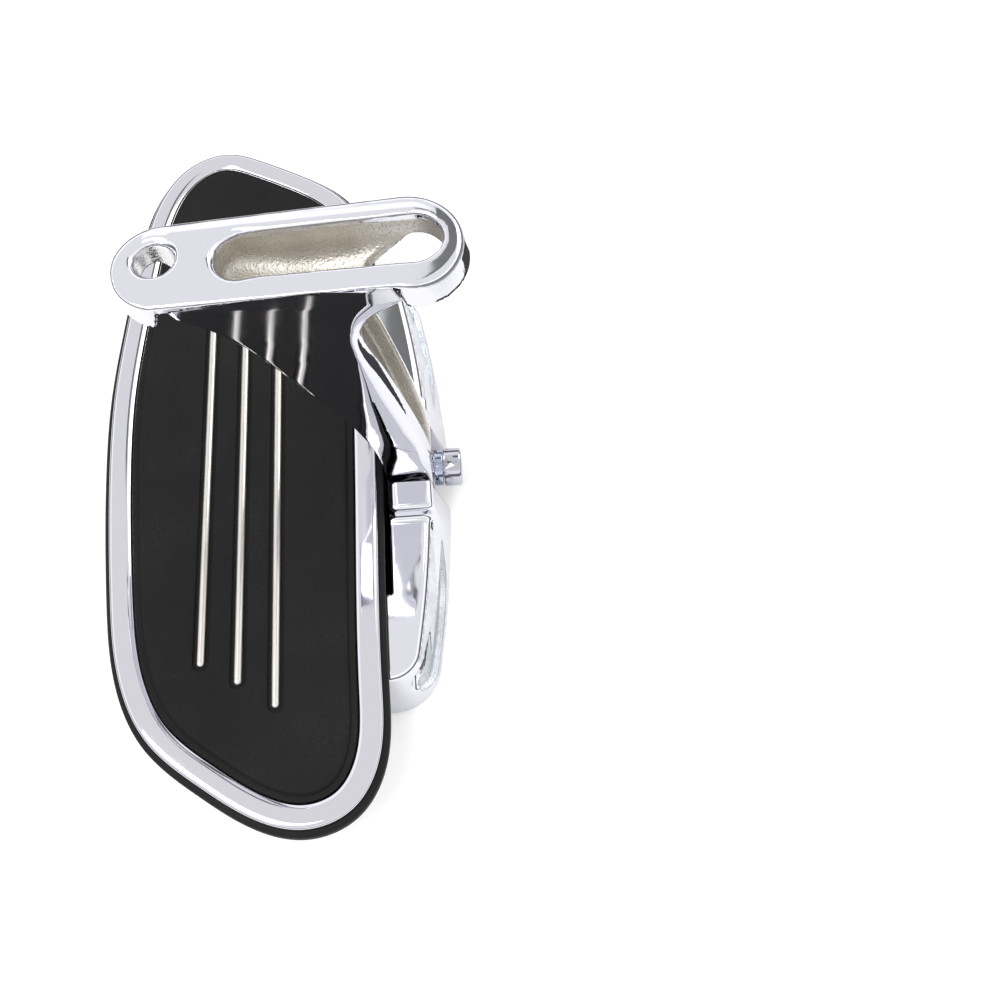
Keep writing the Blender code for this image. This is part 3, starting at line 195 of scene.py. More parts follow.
def rounded_corners(points: list[tuple[float, float]], radius: float, steps: int, closed: bool) -> np.ndarray:
    """A polyline whose corners are rounded by quadratic curves.

    Args:
        points: the corners.
        radius: how far from each corner the curve starts, capped at 0.45 of the shorter side.
        steps: chords in each corner.
        closed: whether the last corner joins the first.

    Returns:
        The rounded polyline's points.
    """
    corners = np.asarray(points, float)
    before, after = np.roll(corners, 1, 0), np.roll(corners, -1, 0)
    to_before, to_after = before - corners, after - corners
    long_before = np.linalg.norm(to_before, axis=1)[:, None]
    long_after = np.linalg.norm(to_after, axis=1)[:, None]
    reach = np.minimum(radius, 0.45 * np.minimum(long_before, long_after))
    start = (corners + to_before / long_before * reach)[:, None]
    end = (corners + to_after / long_after * reach)[:, None]
    t = np.linspace(0, 1, steps + 1)[None, :, None]
    curve = (1 - t) ** 2 * start + 2 * t * (1 - t) * corners[:, None] + t**2 * end
    if closed:
        return curve.reshape(-1, 2)
    return np.vstack([corners[:1], curve[1:-1].reshape(-1, 2), corners[-1:]])


# Meshes

def plain_object(name: str, points: np.ndarray | list, faces: list) -> bpy.types.Object:
    """Puts a mesh into the scene.

    Args:
        name: the name of the object and its mesh.
        points: corner points in millimetres.
        faces: corner indices of each face.

    Returns:
        The new object.
    """
    mesh = bpy.data.meshes.new(name)
    mesh.from_pydata((np.asarray(points, float) * MM).tolist(), [], faces)
    obj = bpy.data.objects.new(name, mesh)
    bpy.context.scene.collection.objects.link(obj)
    return obj


def make_piece(
    name: str,
    points: np.ndarray,
    faces: list | np.ndarray,
    body: Body,
    nodes: tuple[str, ...],
    sharp: float | None = 40.0,
) -> bpy.types.Object:
    """Puts a shape into the scene as a piece of the part.

    Args:
        name: the piece's name.
        points: corner points in millimetres.
        faces: corner indices of each face, facing out.
        body: the body the piece rides on.
        nodes: the CAD nodes it stands for.
        sharp: the angle in degrees above which an edge is shaded sharp, or None for smooth all over.

    Returns:
        The new object.
    """
    obj = plain_object(name, points, faces.tolist() if isinstance(faces, np.ndarray) else faces)
    obj.data.shade_smooth()
    if sharp is not None:
        obj.data.set_sharp_from_angle(angle=math.radians(sharp))
    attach(obj, body.value)
    if nodes:
        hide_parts(*nodes)
    LOG.info("%s: %d faces", name, len(obj.data.polygons))
    return obj


def ring_faces(rings: int, count: int, closed: bool) -> list[tuple[int, ...]]:
    """Quads between consecutive rings of points.

    Args:
        rings: how many rings there are.
        count: points in each ring.
        closed: whether the last ring joins the first.

    Returns:
        Corner indices of each quad.
    """
    low = np.arange(rings if closed else rings - 1)[:, None] * count
    high = (low + count) % (rings * count)
    i = np.arange(count)[None, :]
    j = (i + 1) % count
    quads = np.stack([low + i, low + j, high + j, high + i], axis=-1)
    return [tuple(q) for q in quads.reshape(-1, 4).tolist()]


def around(outline: np.ndarray, profile: np.ndarray, closed: bool) -> tuple[np.ndarray, list]:
    """Carries a profile round an outline: point = outline + inward * inset, at the profile's height.

    Args:
        outline: the closed outline, seen from above, counter-clockwise.
        profile: rows of (inset, height), from the underside up the outer side.
        closed: True for a frame round the outline, False for a solid with flat ends.

    Returns:
        The points and the faces, facing out.
    """
    inner = inward(outline)
    flat = outline[None] + inner[None] * profile[:, None, :1]
    height = np.broadcast_to(profile[:, None, 1:], (*flat.shape[:2], 1))
    points = np.concatenate([flat, height], axis=2).reshape(-1, 3)
    count, rings = len(outline), len(profile)
    faces = ring_faces(rings, count, closed)
    if not closed:
        faces.append(tuple(reversed(range(count))))
        faces.append(tuple(range((rings - 1) * count, rings * count)))
    return points, faces


def turned(
    profile: np.ndarray, axis: Axis, centre: np.ndarray, sides: int, closed: bool
) -> tuple[np.ndarray, list]:
    """Turns a profile about an axis: radius(angle) = min(limit, flat / cos(angle to the nearest flat)).

    Args:
        profile: rows of (limit radius, place along the axis, distance of the hexagon's flats or inf).
            It runs with the solid on its left as the axis points up and the radius to the right.
        axis: the axis of turning.
        centre: a point on it.
        sides: points round the piece.
        closed: True for a ring; otherwise the first and last rows are poles of radius 0.

    Returns:
        The points and the faces, facing out.
    """
    angle = 2 * np.pi * np.arange(sides) / sides
    to_flat = (angle + np.pi / 6) % (np.pi / 3) - np.pi / 6
    rows = profile if closed else profile[1:-1]
    radius = np.minimum(rows[:, :1], rows[:, 2:] / np.cos(to_flat)[None])
    along = np.broadcast_to(rows[:, 1:2], radius.shape)
    local = np.stack([radius * np.cos(angle), radius * np.sin(angle), along], axis=-1).reshape(-1, 3)
    faces = ring_faces(len(rows), sides, closed)
    if not closed:
        first, last = len(local), len(local) + 1
        poles = np.array([[0, 0, profile[0, 1]], [0, 0, profile[-1, 1]]])
        local = np.vstack([local, poles])
        i = np.arange(sides)
        j = (i + 1) % sides
        top = (len(rows) - 1) * sides
        faces += [(first, int(b), int(a)) for a, b in zip(i, j)]
        faces += [(last, int(a), int(b)) for a, b in zip(top + i, top + j)]
    order = {Axis.Z: (0, 1, 2), Axis.X: (2, 0, 1), Axis.Y: (1, 2, 0)}[axis]
    return local[:, order] + np.asarray(centre, float), faces


def round_rows(points: list[tuple[float, float]]) -> np.ndarray:
    """Rows of a turning profile that is round all the way, with no hexagon."""
    return np.column_stack([points, np.full(len(points), math.inf)])


def profile_rows(points: list[tuple[float, float]], radius: float, closed: bool) -> np.ndarray:
    """Rows of a round turning profile with its corners rounded."""
    return round_rows(rounded_corners(points, radius, 4, closed))


def apply_modifiers(obj: bpy.types.Object) -> None:
    """Replaces an object's mesh by its evaluated one and removes its modifiers.

    Args:
        obj: the object.
    """
    bpy.context.view_layer.update()
    shape = obj.evaluated_get(bpy.context.evaluated_depsgraph_get())
    mesh = bpy.data.meshes.new_from_object(shape)
    obj.modifiers.clear()
    obj.data = mesh


def cut_out(obj: bpy.types.Object, points: np.ndarray, faces: list) -> None:
    """Subtracts a closed shape from a piece.

    Args:
        obj: the piece.
        points: the shape's corner points in millimetres.
        faces: corner indices of its faces, facing out.
    """
    tool = plain_object("cut", points, faces)
    step = obj.modifiers.new("cut", "BOOLEAN")
    step.operation = "DIFFERENCE"
    step.solver = "EXACT"
    step.object = tool
    apply_modifiers(obj)
    bpy.data.objects.remove(tool, do_unlink=True)


# Distance fields: negative inside

def polygon_field(corners: np.ndarray, u: np.ndarray, v: np.ndarray) -> np.ndarray:
    """Signed distance to a closed polygon: least distance to a side, its sign by the crossing rule.

    Args:
        corners: the polygon's corners, one row each.
        u, v: coordinates in its plane.

    Returns:
        The distance, negative inside.
    """
    u, v = np.broadcast_arrays(u, v)
    nearest = np.full(u.shape, np.inf)
    within = np.zeros(u.shape, bool)
    for (ax, ay), (bx, by) in zip(corners, np.roll(corners, -1, 0)):
        ex, ey = bx - ax, by - ay
        wx, wy = u - ax, v - ay
        share = np.clip((wx * ex + wy * ey) / (ex * ex + ey * ey), 0, 1)
        nearest = np.minimum(nearest, (wx - share * ex) ** 2 + (wy - share * ey) ** 2)
        if ay != by:
            within ^= ((ay > v) != (by > v)) & (wx < ex * wy / ey)
    return np.where(within, -1.0, 1.0) * np.sqrt(nearest)


def blend_max(a: np.ndarray, b: np.ndarray, width: float) -> np.ndarray:
    """The larger of two fields, rounded over a width: the overlap of two solids."""
    share = np.clip(0.5 + 0.5 * (a - b) / width, 0, 1)
    return b + (a - b) * share + width * share * (1 - share)


def blend_min(a: np.ndarray, b: np.ndarray, width: float) -> np.ndarray:
    """The smaller of two fields, filleted over a width: two solids joined."""
    return -blend_max(-a, -b, width)


def rounded_overlap(a: np.ndarray, b: np.ndarray, radius: np.ndarray | float) -> np.ndarray:
    """Overlap of two fields whose common edge is a true arc of a radius."""
    p, q = a + radius, b + radius
    return np.minimum(np.maximum(p, q), 0) + np.hypot(np.maximum(p, 0), np.maximum(q, 0)) - radius


def box_field(x: np.ndarray, y: np.ndarray, z: np.ndarray, low: tuple, high: tuple) -> np.ndarray:
    """Distance to a box, exact on its sides: the largest of the distances to its faces."""
    sides = [np.maximum(low[k] - c, c - high[k]) for k, c in enumerate((x, y, z))]
    return np.maximum(np.maximum(sides[0], sides[1]), sides[2])


def ramp(value: np.ndarray, start: float, run: float) -> np.ndarray:
    """Smooth step, 3t^2 - 2t^3, from 0 at start to 1 at start + run; a negative run steps the other way."""
    share = np.clip((value - start) / run, 0, 1)
    return share * share * (3 - 2 * share)


def near_cut(cut: np.ndarray, reach: float) -> np.ndarray:
    """1 on a cut's surface, falling to 0 at a distance of reach on either side."""
    return ramp(np.abs(cut), reach, -0.5)


def carve(body: np.ndarray, *tools: tuple[np.ndarray, float]) -> np.ndarray:
    """Takes tools away from a body, one after the other.

    Args:
        body: the body's field.
        *tools: each tool's field, and the width that its edge is rounded over.

    Returns:
        The carved body's field.
    """
    for tool, width in tools:
        body = blend_max(body, -tool, width)
    return body


def screw_bores(x: np.ndarray, away: np.ndarray) -> np.ndarray:
    """Field of the foot screws' bores, which run along Z on both sides of the pivot."""
    near, far = (np.hypot(x - SCREW_X, away - place) for place in SCREW_PLACES)
    return np.minimum(near, far) - BORE_RADIUS


@dataclass
class Casting:
    """A cast piece given by a distance field, and the grid that skins it."""

    name: str
    node: str
    body: Body
    low: tuple[float, float, float]
    high: tuple[float, float, float]
    cell: float

    def solid(self, x: np.ndarray, y: np.ndarray, z: np.ndarray) -> np.ndarray:
        """The casting's distance field."""
        raise NotImplementedError

    def rawness(self, x: np.ndarray, y: np.ndarray, z: np.ndarray) -> np.ndarray:
        """How unpolished the surface is at each point, from 0 to 1."""
        return np.zeros(np.shape(x))

    def painted_reflection_share(self, x: np.ndarray, y: np.ndarray, z: np.ndarray) -> np.ndarray:
        """How much painted dark reflection there is at each point, from 0 to 1."""
        return np.zeros(np.shape(x))

    def skin(self) -> tuple[np.ndarray, np.ndarray]:
        """Surface nets: one point in each grid cell the surface passes, one quad across each crossed edge.

        Returns:
            The points, moved onto the surface by three Newton steps, and the quads, facing out.
        """
        low = np.array(self.low, float)
        counts = np.ceil((np.array(self.high) - low) / self.cell).astype(int) + 1
        x, y, z = (low[k] + self.cell * np.arange(counts[k]) for k in range(3))
        values = np.broadcast_to(self.solid(x[:, None, None], y[None, :, None], z[None, None, :]), counts)
        cells = counts - 1
        total = np.zeros((np.prod(cells), 3))
        hits = np.zeros(np.prod(cells))
        quads = []
        for axis in range(3):
            near = [slice(None)] * 3
            far = [slice(None)] * 3
            near[axis], far[axis] = slice(0, -1), slice(1, None)
            start, end = values[tuple(near)], values[tuple(far)]
            crossed = (start < 0) != (end < 0)
            place = np.argwhere(crossed)
            start, end = start[crossed], end[crossed]
            point = place.astype(float)
            point[:, axis] += start / (start - end)
            one, two = (axis + 1) % 3, (axis + 2) % 3
            corners = []
            for shift_one, shift_two in ((0, 0), (-1, 0), (-1, -1), (0, -1)):
                cell = place.copy()
                cell[:, one] += shift_one
                cell[:, two] += shift_two
                flat = np.ravel_multi_index(cell.T, cells)
                hits += np.bincount(flat, minlength=len(hits))
                for k in range(3):
                    total[:, k] += np.bincount(flat, point[:, k], minlength=len(hits))
                corners.append(flat)
            quad = np.stack(corners, axis=1)
            quads.append(np.where((start < 0)[:, None], quad, quad[:, ::-1]))
        quads = np.vstack(quads)
        used, index = np.unique(quads, return_inverse=True)
        points = low + self.cell * total[used] / hits[used][:, None]
        return self.settle(points), index.reshape(quads.shape)

    def settle(self, points: np.ndarray) -> np.ndarray:
        """Moves points onto the surface: p - f(p) g / |g|^2, at most half a cell at a time.

        Args:
            points: points near the surface, one row each.

        Returns:
            The points after three Newton steps.
        """
        probe, flattest = 0.04, 0.2
        for _ in range(3):
            value = self.solid(*points.T)
            slope = np.stack(
                [self.solid(*(points + probe * np.eye(3)[k]).T) - value for k in range(3)], axis=1
            ) / probe
            size = np.maximum(np.sum(slope**2, axis=1), flattest)
            move = np.clip(value / size, -0.5 * self.cell, 0.5 * self.cell)
            points = points - slope * move[:, None]
        return points

    def build(self, slot: str, finish: "Finish") -> bpy.types.Object:
        """Skins the casting, stores its rawness and its painted dark reflection as attributes and dresses it.

        Args:
            slot: the record's material slot; not used.
            finish: the finish to dress it with.

        Returns:
            The new piece.
        """
        points, quads = self.skin()
        obj = make_piece(self.name, points, quads, self.body, (self.node,), None)
        # The black attribute carries the painted dark reflection: black painted into the colour in place of
        # mirrored black rubber.
        for name, share in (("raw", self.rawness), ("black", self.painted_reflection_share)):
            attribute = obj.data.attributes.new(name, "FLOAT", "POINT")
            attribute.data.foreach_set("value", share(*points.T).astype(np.float32))
        finish.dress(obj)
        return obj


# The mount arm

@dataclass
class MountArm(Casting):
    """The arm that bolts to the machine: web, flange, bolt hole, trough-floored slot, pocket and knuckle.

    A field that ends in _ramp is a start and a run, as in ramp(). The lists are rows of a height or a place
    and what the arm measures there.
    """

    knuckle_radius: float = 9.1
    knuckle_half: float = 12.5
    heel_radius: float = 1.5
    foot_z: float = 22.0
    front: float = 16.6
    back: float = 13.6
    back_slope: float = 0.03
    width_ramp: tuple[float, float] = (28.0, 46.0)
    full_x: float = 64.0
    twist_reach: tuple[float, float] = (-8.0, 80.0)
    neck_x: float = 54.0
    neck_width: float = 20.0
    neck_swell: float = 0.0025
    neck_ramp: tuple[float, float] = (130.0, 14.0)
    edge_radius: float = 0.8
    tip_radius: float = 2.2
    tip_ramp: tuple[float, float] = (1.5, -4.0)
    steepest: float = 1.5
    tilt: float = math.radians(2.5)
    top: float = 157.0
    start: tuple[float, float] = (-1.0, -1.5)
    start_radius: float = 15.8
    end: tuple[float, float] = (74.8, 0.3)
    end_radius: float = 17.1
    thin: float = 7.0
    thick: float = 9.6
    end_extra: float = 2.6
    end_ramp: tuple[float, float] = (8.0, -8.0)
    lip_start_ramp: tuple[float, float] = (-4.6, 2.4)
    lip_end_ramp: tuple[float, float] = (75.0, -5.0)
    lip_front_ramp: tuple[float, float] = (7.0, 3.0)
    least_swell: float = 0.3
    more_swell: float = 1.1
    back_ramp: tuple[float, float] = (-6.0, 16.0)
    hinge_ramp: tuple[float, float] = (70.0, 18.0)
    flare: float = 0.6
    more_flare: float = 0.9
    flare_height: float = 9.0
    rim_radius: float = 0.35
    more_rim: float = 1.15
    web_top: float = 147.0
    joint_fillet: float = 0.9
    back_fillet: float = 2.6
    fillet_ramp: tuple[float, float] = (-2.0, 8.0)
    hole: tuple[float, float] = (-4.0, 1.9)
    hole_radius: float = 6.4
    hole_bevel: float = 1.2
    hole_low: float = 120.0
    slot_start: tuple[float, float] = (23.8, 0.5)
    slot_start_radius: float = 8.8
    slot_end: tuple[float, float] = (77.9, 1.3)
    slot_end_radius: float = 9.4
    slot_low: float = 121.0
    slot_bevel: float = 0.4
    more_bevel: float = 1.2
    bevel_ramp: tuple[float, float] = (32.0, -14.0)
    back_bevel: float = -0.25
    back_bevel_ramp: tuple[float, float] = (0.0, 6.0)
    trough_rise: float = 3.4
    trough_end: float = 61.4
    trough_hook: float = 0.55
    hook_side: float = 4.6
    hook_width: float = 4.8
    pocket_depth: float = 6.4
    pocket_reach: float = 9.0
    pocket_span: tuple[float, float] = (34.0, 126.0)
    pocket_side: float = -0.6
    pocket_radius: float = 1.4
    pin_clearance: float = 0.09
    plug_bore: float = 4.8
    twist: list = field(default_factory=lambda: [
        (28.0, 0.0), (38.0, 0.12), (50.0, 0.20), (62.0, 0.20), (76.0, 0.15), (92.0, 0.105), (118.0, 0.098),
        (130.0, 0.090), (140.0, 0.081), (148.0, 0.074), (160.0, 0.074)])
    board_edge: list = field(default_factory=lambda: [
        (-5.5, 156.0), (-4.4, 150.5), (-2.4, 145.6), (1.6, 141.0), (11.0, 134.6), (19.9, 124.7),
        (28.1, 111.4), (36.0, 98.1), (46.2, 80.1), (53.0, 60.1), (56.4, 42.4), (58.2, 22.0)])
    hinge_edge: list = field(default_factory=lambda: [
        (76.4, 22.0), (76.4, 38.0), (73.9, 57.5), (68.6, 84.0), (63.0, 107.0), (59.4, 118.5), (57.8, 127.0),
        (58.4, 134.0), (61.8, 139.6), (67.6, 144.4), (74.0, 148.4), (80.0, 153.0), (84.0, 159.8)])
    slot_floor: list = field(default_factory=lambda: [
        (13.0, 149.0), (16.0, 146.2), (24.0, 143.6), (36.0, 142.0), (48.0, 141.8), (58.0, 143.0),
        (66.0, 145.4)])
    shin: list = field(default_factory=lambda: [
        (24.0, 0.8, 0.8), (34.0, 5.0, 2.5), (50.0, 14.0, 4.5), (70.7, 19.5, 5.5), (89.7, 14.0, 5.0),
        (109.2, 7.6, 4.0), (118.0, 4.2, 3.0), (125.0, 3.2, 2.6), (136.0, 4.0, 3.4), (146.0, 8.0, 6.0),
        (152.0, 10.0, 8.0)])
    lip: list = field(default_factory=lambda: [(-2.0, 4.2), (4.0, 3.2), (20.0, 1.8), (42.0, 0.9)])
    pocket_halves: list = field(default_factory=lambda: [
        (36.0, 0.2), (37.0, 1.6), (39.5, 3.2), (43.0, 4.2), (60.0, 5.6), (90.0, 8.0), (126.0, 9.6)])

    def __post_init__(self) -> None:
        """Works out the web's, flange's, slot's and pocket's outlines."""
        px, _, pz = PIVOT
        left, right, low = px - self.knuckle_radius, px + self.knuckle_radius, pz - self.knuckle_radius
        heel = arc((right - self.heel_radius, low + self.heel_radius), self.heel_radius, -90, 0, 4)
        bottom = arc((px, pz), self.knuckle_radius, 180, 270, 14)
        board, hinge = open_spline(self.board_edge, 5), open_spline(self.hinge_edge, 5)
        self.web = np.vstack([[(left, self.foot_z)], bottom, heel, hinge, board[:-1]])
        far_corners = [(95.0, 166.0), (-90.0, 166.0), (-90.0, -60.0)]
        self.hinge_side = np.vstack([[(right, -60.0)], hinge, far_corners])
        self.flange = stadium(self.start, self.start_radius, self.end, self.end_radius, 24)
        self.slot = stadium(self.slot_start, self.slot_start_radius, self.slot_end, self.slot_end_radius, 20)
        edge = hinge[(hinge[:, 1] > self.pocket_span[0]) & (hinge[:, 1] < self.pocket_span[1])]
        along = np.gradient(edge, axis=0)
        along /= np.linalg.norm(along, axis=1)[:, None]
        out = np.column_stack([along[:, 1], -along[:, 0]])
        self.pocket = np.vstack([edge + out * self.pocket_reach, (edge - out * self.pocket_depth)[::-1]])
        self.floor = open_spline(self.slot_floor, 6)

    def flange_place(self, x: np.ndarray, z: np.ndarray) -> tuple[np.ndarray, np.ndarray]:
        """Turns X and Z by the flange's tilt.

        Args:
            x, z: coordinates in millimetres.

        Returns:
            The place along the flange, as X at its hole's end, and the height above its tilted face.
        """
        dx, dz = x - self.start[0], z - self.top
        cos, sin = math.cos(self.tilt), math.sin(self.tilt)
        return dx * cos + dz * sin + self.start[0], dz * cos - dx * sin

    def web_field(self, x: np.ndarray, side: np.ndarray, z: np.ndarray) -> np.ndarray:
        """The web: a front face that twists a little as it rises, a sharp board edge and a rounded shin.

        The faces reach from the knuckle's width to their full width over the width ramp. On the shin they
        draw back by an ellipse's arc: depth * (1 - sqrt(1 - (1 - inset / width)^2)).

        Args:
            x, z: coordinates in millimetres.
            side: the distance from the pivot's middle along Y.

        Returns:
            The web's field.
        """
        share = ramp(z, *self.width_ramp)
        heights, turns = np.array(self.twist).T
        away = np.clip(self.full_x - x, *self.twist_reach)
        front = self.knuckle_half + share * (self.front - self.knuckle_half)
        front = front - np.interp(z, heights, turns) * away
        swell = self.neck_swell * np.clip(x - self.neck_x, 0.0, self.neck_width) ** 2
        front = front + swell * ramp(z, *self.neck_ramp)
        back = self.knuckle_half + share * (self.back - self.back_slope * away - self.knuckle_half)
        heights, widths, depths = np.array(self.shin).T
        width, depth = np.interp(z, heights, widths), np.interp(z, heights, depths)
        left = 1.0 - np.clip(-polygon_field(self.hinge_side, x, z) / width, 0, 1)
        drawn = depth * (1.0 - np.sqrt(1.0 - left**2))
        face = np.maximum(-side - front, side - back) + drawn
        slope = np.hypot(1.0, np.minimum(depth / width * left / np.sqrt(1.02 - left**2), self.steepest))
        radius = self.edge_radius + self.tip_radius * ramp(x, *self.tip_ramp)
        return rounded_overlap(polygon_field(self.web, x, z), face / slope, radius)

    def flange_field(self, x: np.ndarray, side: np.ndarray, z: np.ndarray) -> np.ndarray:
        """The flange: full walls round its ends and back, and only a thin lip over the web in front.

        Args:
            x, z: coordinates in millimetres.
            side: the distance from the pivot's middle along Y.

        Returns:
            The flange's field.
        """
        run, rise = self.flange_place(x, z)
        share = (run - self.start[0]) / (self.end[0] - self.start[0])
        over_web = ramp(run, *self.lip_start_ramp) * ramp(run, *self.lip_end_ramp)
        over_web = over_web * ramp(-side, *self.lip_front_ramp)
        thickness = self.thin + (self.thick - self.thin) * np.clip(share, -0.3, 1.3)
        thickness = thickness + self.end_extra * ramp(run, *self.end_ramp)
        thickness = thickness + (np.interp(run, *np.array(self.lip).T) - thickness) * over_web
        swollen = np.maximum(ramp(side, *self.back_ramp), ramp(run, *self.hinge_ramp))
        swollen = self.least_swell + self.more_swell * swollen
        wall = polygon_field(self.flange, run, side) - swollen * (1.0 - over_web)
        flare = (self.flare + self.more_flare * share) * (1.0 - over_web)
        wall = wall - flare * np.clip(-rise / self.flare_height, 0, 1)
        body = rounded_overlap(wall, rise, self.rim_radius + self.more_rim * swollen)
        return rounded_overlap(body, -rise - thickness, self.rim_radius)

    def cuts(self, x: np.ndarray, y: np.ndarray, z: np.ndarray) -> tuple[np.ndarray, ...]:
        """What is taken out of the arm.

        Args:
            x, y, z: coordinates in millimetres.

        Returns:
            Fields of the slot, the bolt hole and the side pocket, negative where metal is taken away.
        """
        side = y - PIVOT[1]
        run, rise = self.flange_place(x, z)
        across = polygon_field(self.slot, run, side)
        trough = np.interp(x, self.floor[:, 0], self.floor[:, 1])
        trough = trough + self.trough_rise * (side / self.slot_end_radius) ** 4
        hook = self.trough_hook * np.clip(side - self.hook_side, 0.0, self.hook_width) ** 2
        below = blend_min(trough - z, self.trough_end + hook - x, 2.0)
        slot = np.maximum(blend_max(across, below, 2.5), self.slot_low - z)
        bevel = self.slot_bevel + self.more_bevel * ramp(run, *self.bevel_ramp)
        bevel = bevel + self.back_bevel * ramp(side, *self.back_bevel_ramp)
        slot = np.minimum(slot, (across - rise - bevel) * BEVEL_SLOPE)
        slot = np.maximum(slot, rise - 3.0)
        hole_across = np.hypot(run - self.hole[0], side - self.hole[1]) - self.hole_radius
        hole = np.minimum(hole_across, (hole_across - rise - self.hole_bevel) * BEVEL_SLOPE)
        hole = np.maximum(hole, np.maximum(rise - 4.0, self.hole_low - z))
        narrow = np.interp(z, *np.array(self.pocket_halves).T)
        across = np.abs(side - self.pocket_side) - narrow
        return slot, hole, rounded_overlap(polygon_field(self.pocket, x, z), across, self.pocket_radius)

    def solid(self, x: np.ndarray, y: np.ndarray, z: np.ndarray) -> np.ndarray:
        """Web and flange joined, less the slot, hole, pocket, hinge bore and plug bore.

        Args:
            x, y, z: coordinates in millimetres.

        Returns:
            The arm's field.
        """
        side = y - PIVOT[1]
        web = self.web_field(x, side, z)
        run, _ = self.flange_place(x, z)
        plan = polygon_field(self.flange, run, side)
        web = np.where(z > self.web_top, np.maximum(web, plan + GAP), web)
        fillet = self.joint_fillet + self.back_fillet * ramp(side, *self.fillet_ramp)
        body = blend_min(web, self.flange_field(x, side, z), fillet)
        slot, hole, pocket = self.cuts(x, y, z)
        pin = np.hypot(x - PIVOT[0], z - PIVOT[2]) - (PIN_RADIUS + self.pin_clearance)
        plug = np.maximum(np.hypot(side, z - PIVOT[2]) - self.plug_bore, PIVOT[0] - x)
        return carve(body, (slot, 0.6), (hole, 0.5), (pocket, 0.9), (pin, BORE_EDGE), (plug, BORE_EDGE))

    def rawness(self, x: np.ndarray, y: np.ndarray, z: np.ndarray) -> np.ndarray:
        """1 inside the slot below its rim and in the side pocket, about a half in the bolt hole.

        Args:
            x, y, z: coordinates in millimetres.

        Returns:
            The rawness of each point.
        """
        slot, hole, pocket = self.cuts(x, y, z)
        _, rise = self.flange_place(x, z)
        deep = ramp(-rise, 2.0, 1.2)
        in_flange = np.maximum(near_cut(slot, 0.8) * deep, 0.45 * near_cut(hole, 0.8) * deep)
        return np.maximum(in_flange, near_cut(pocket, 0.9))


# The hinge bracket

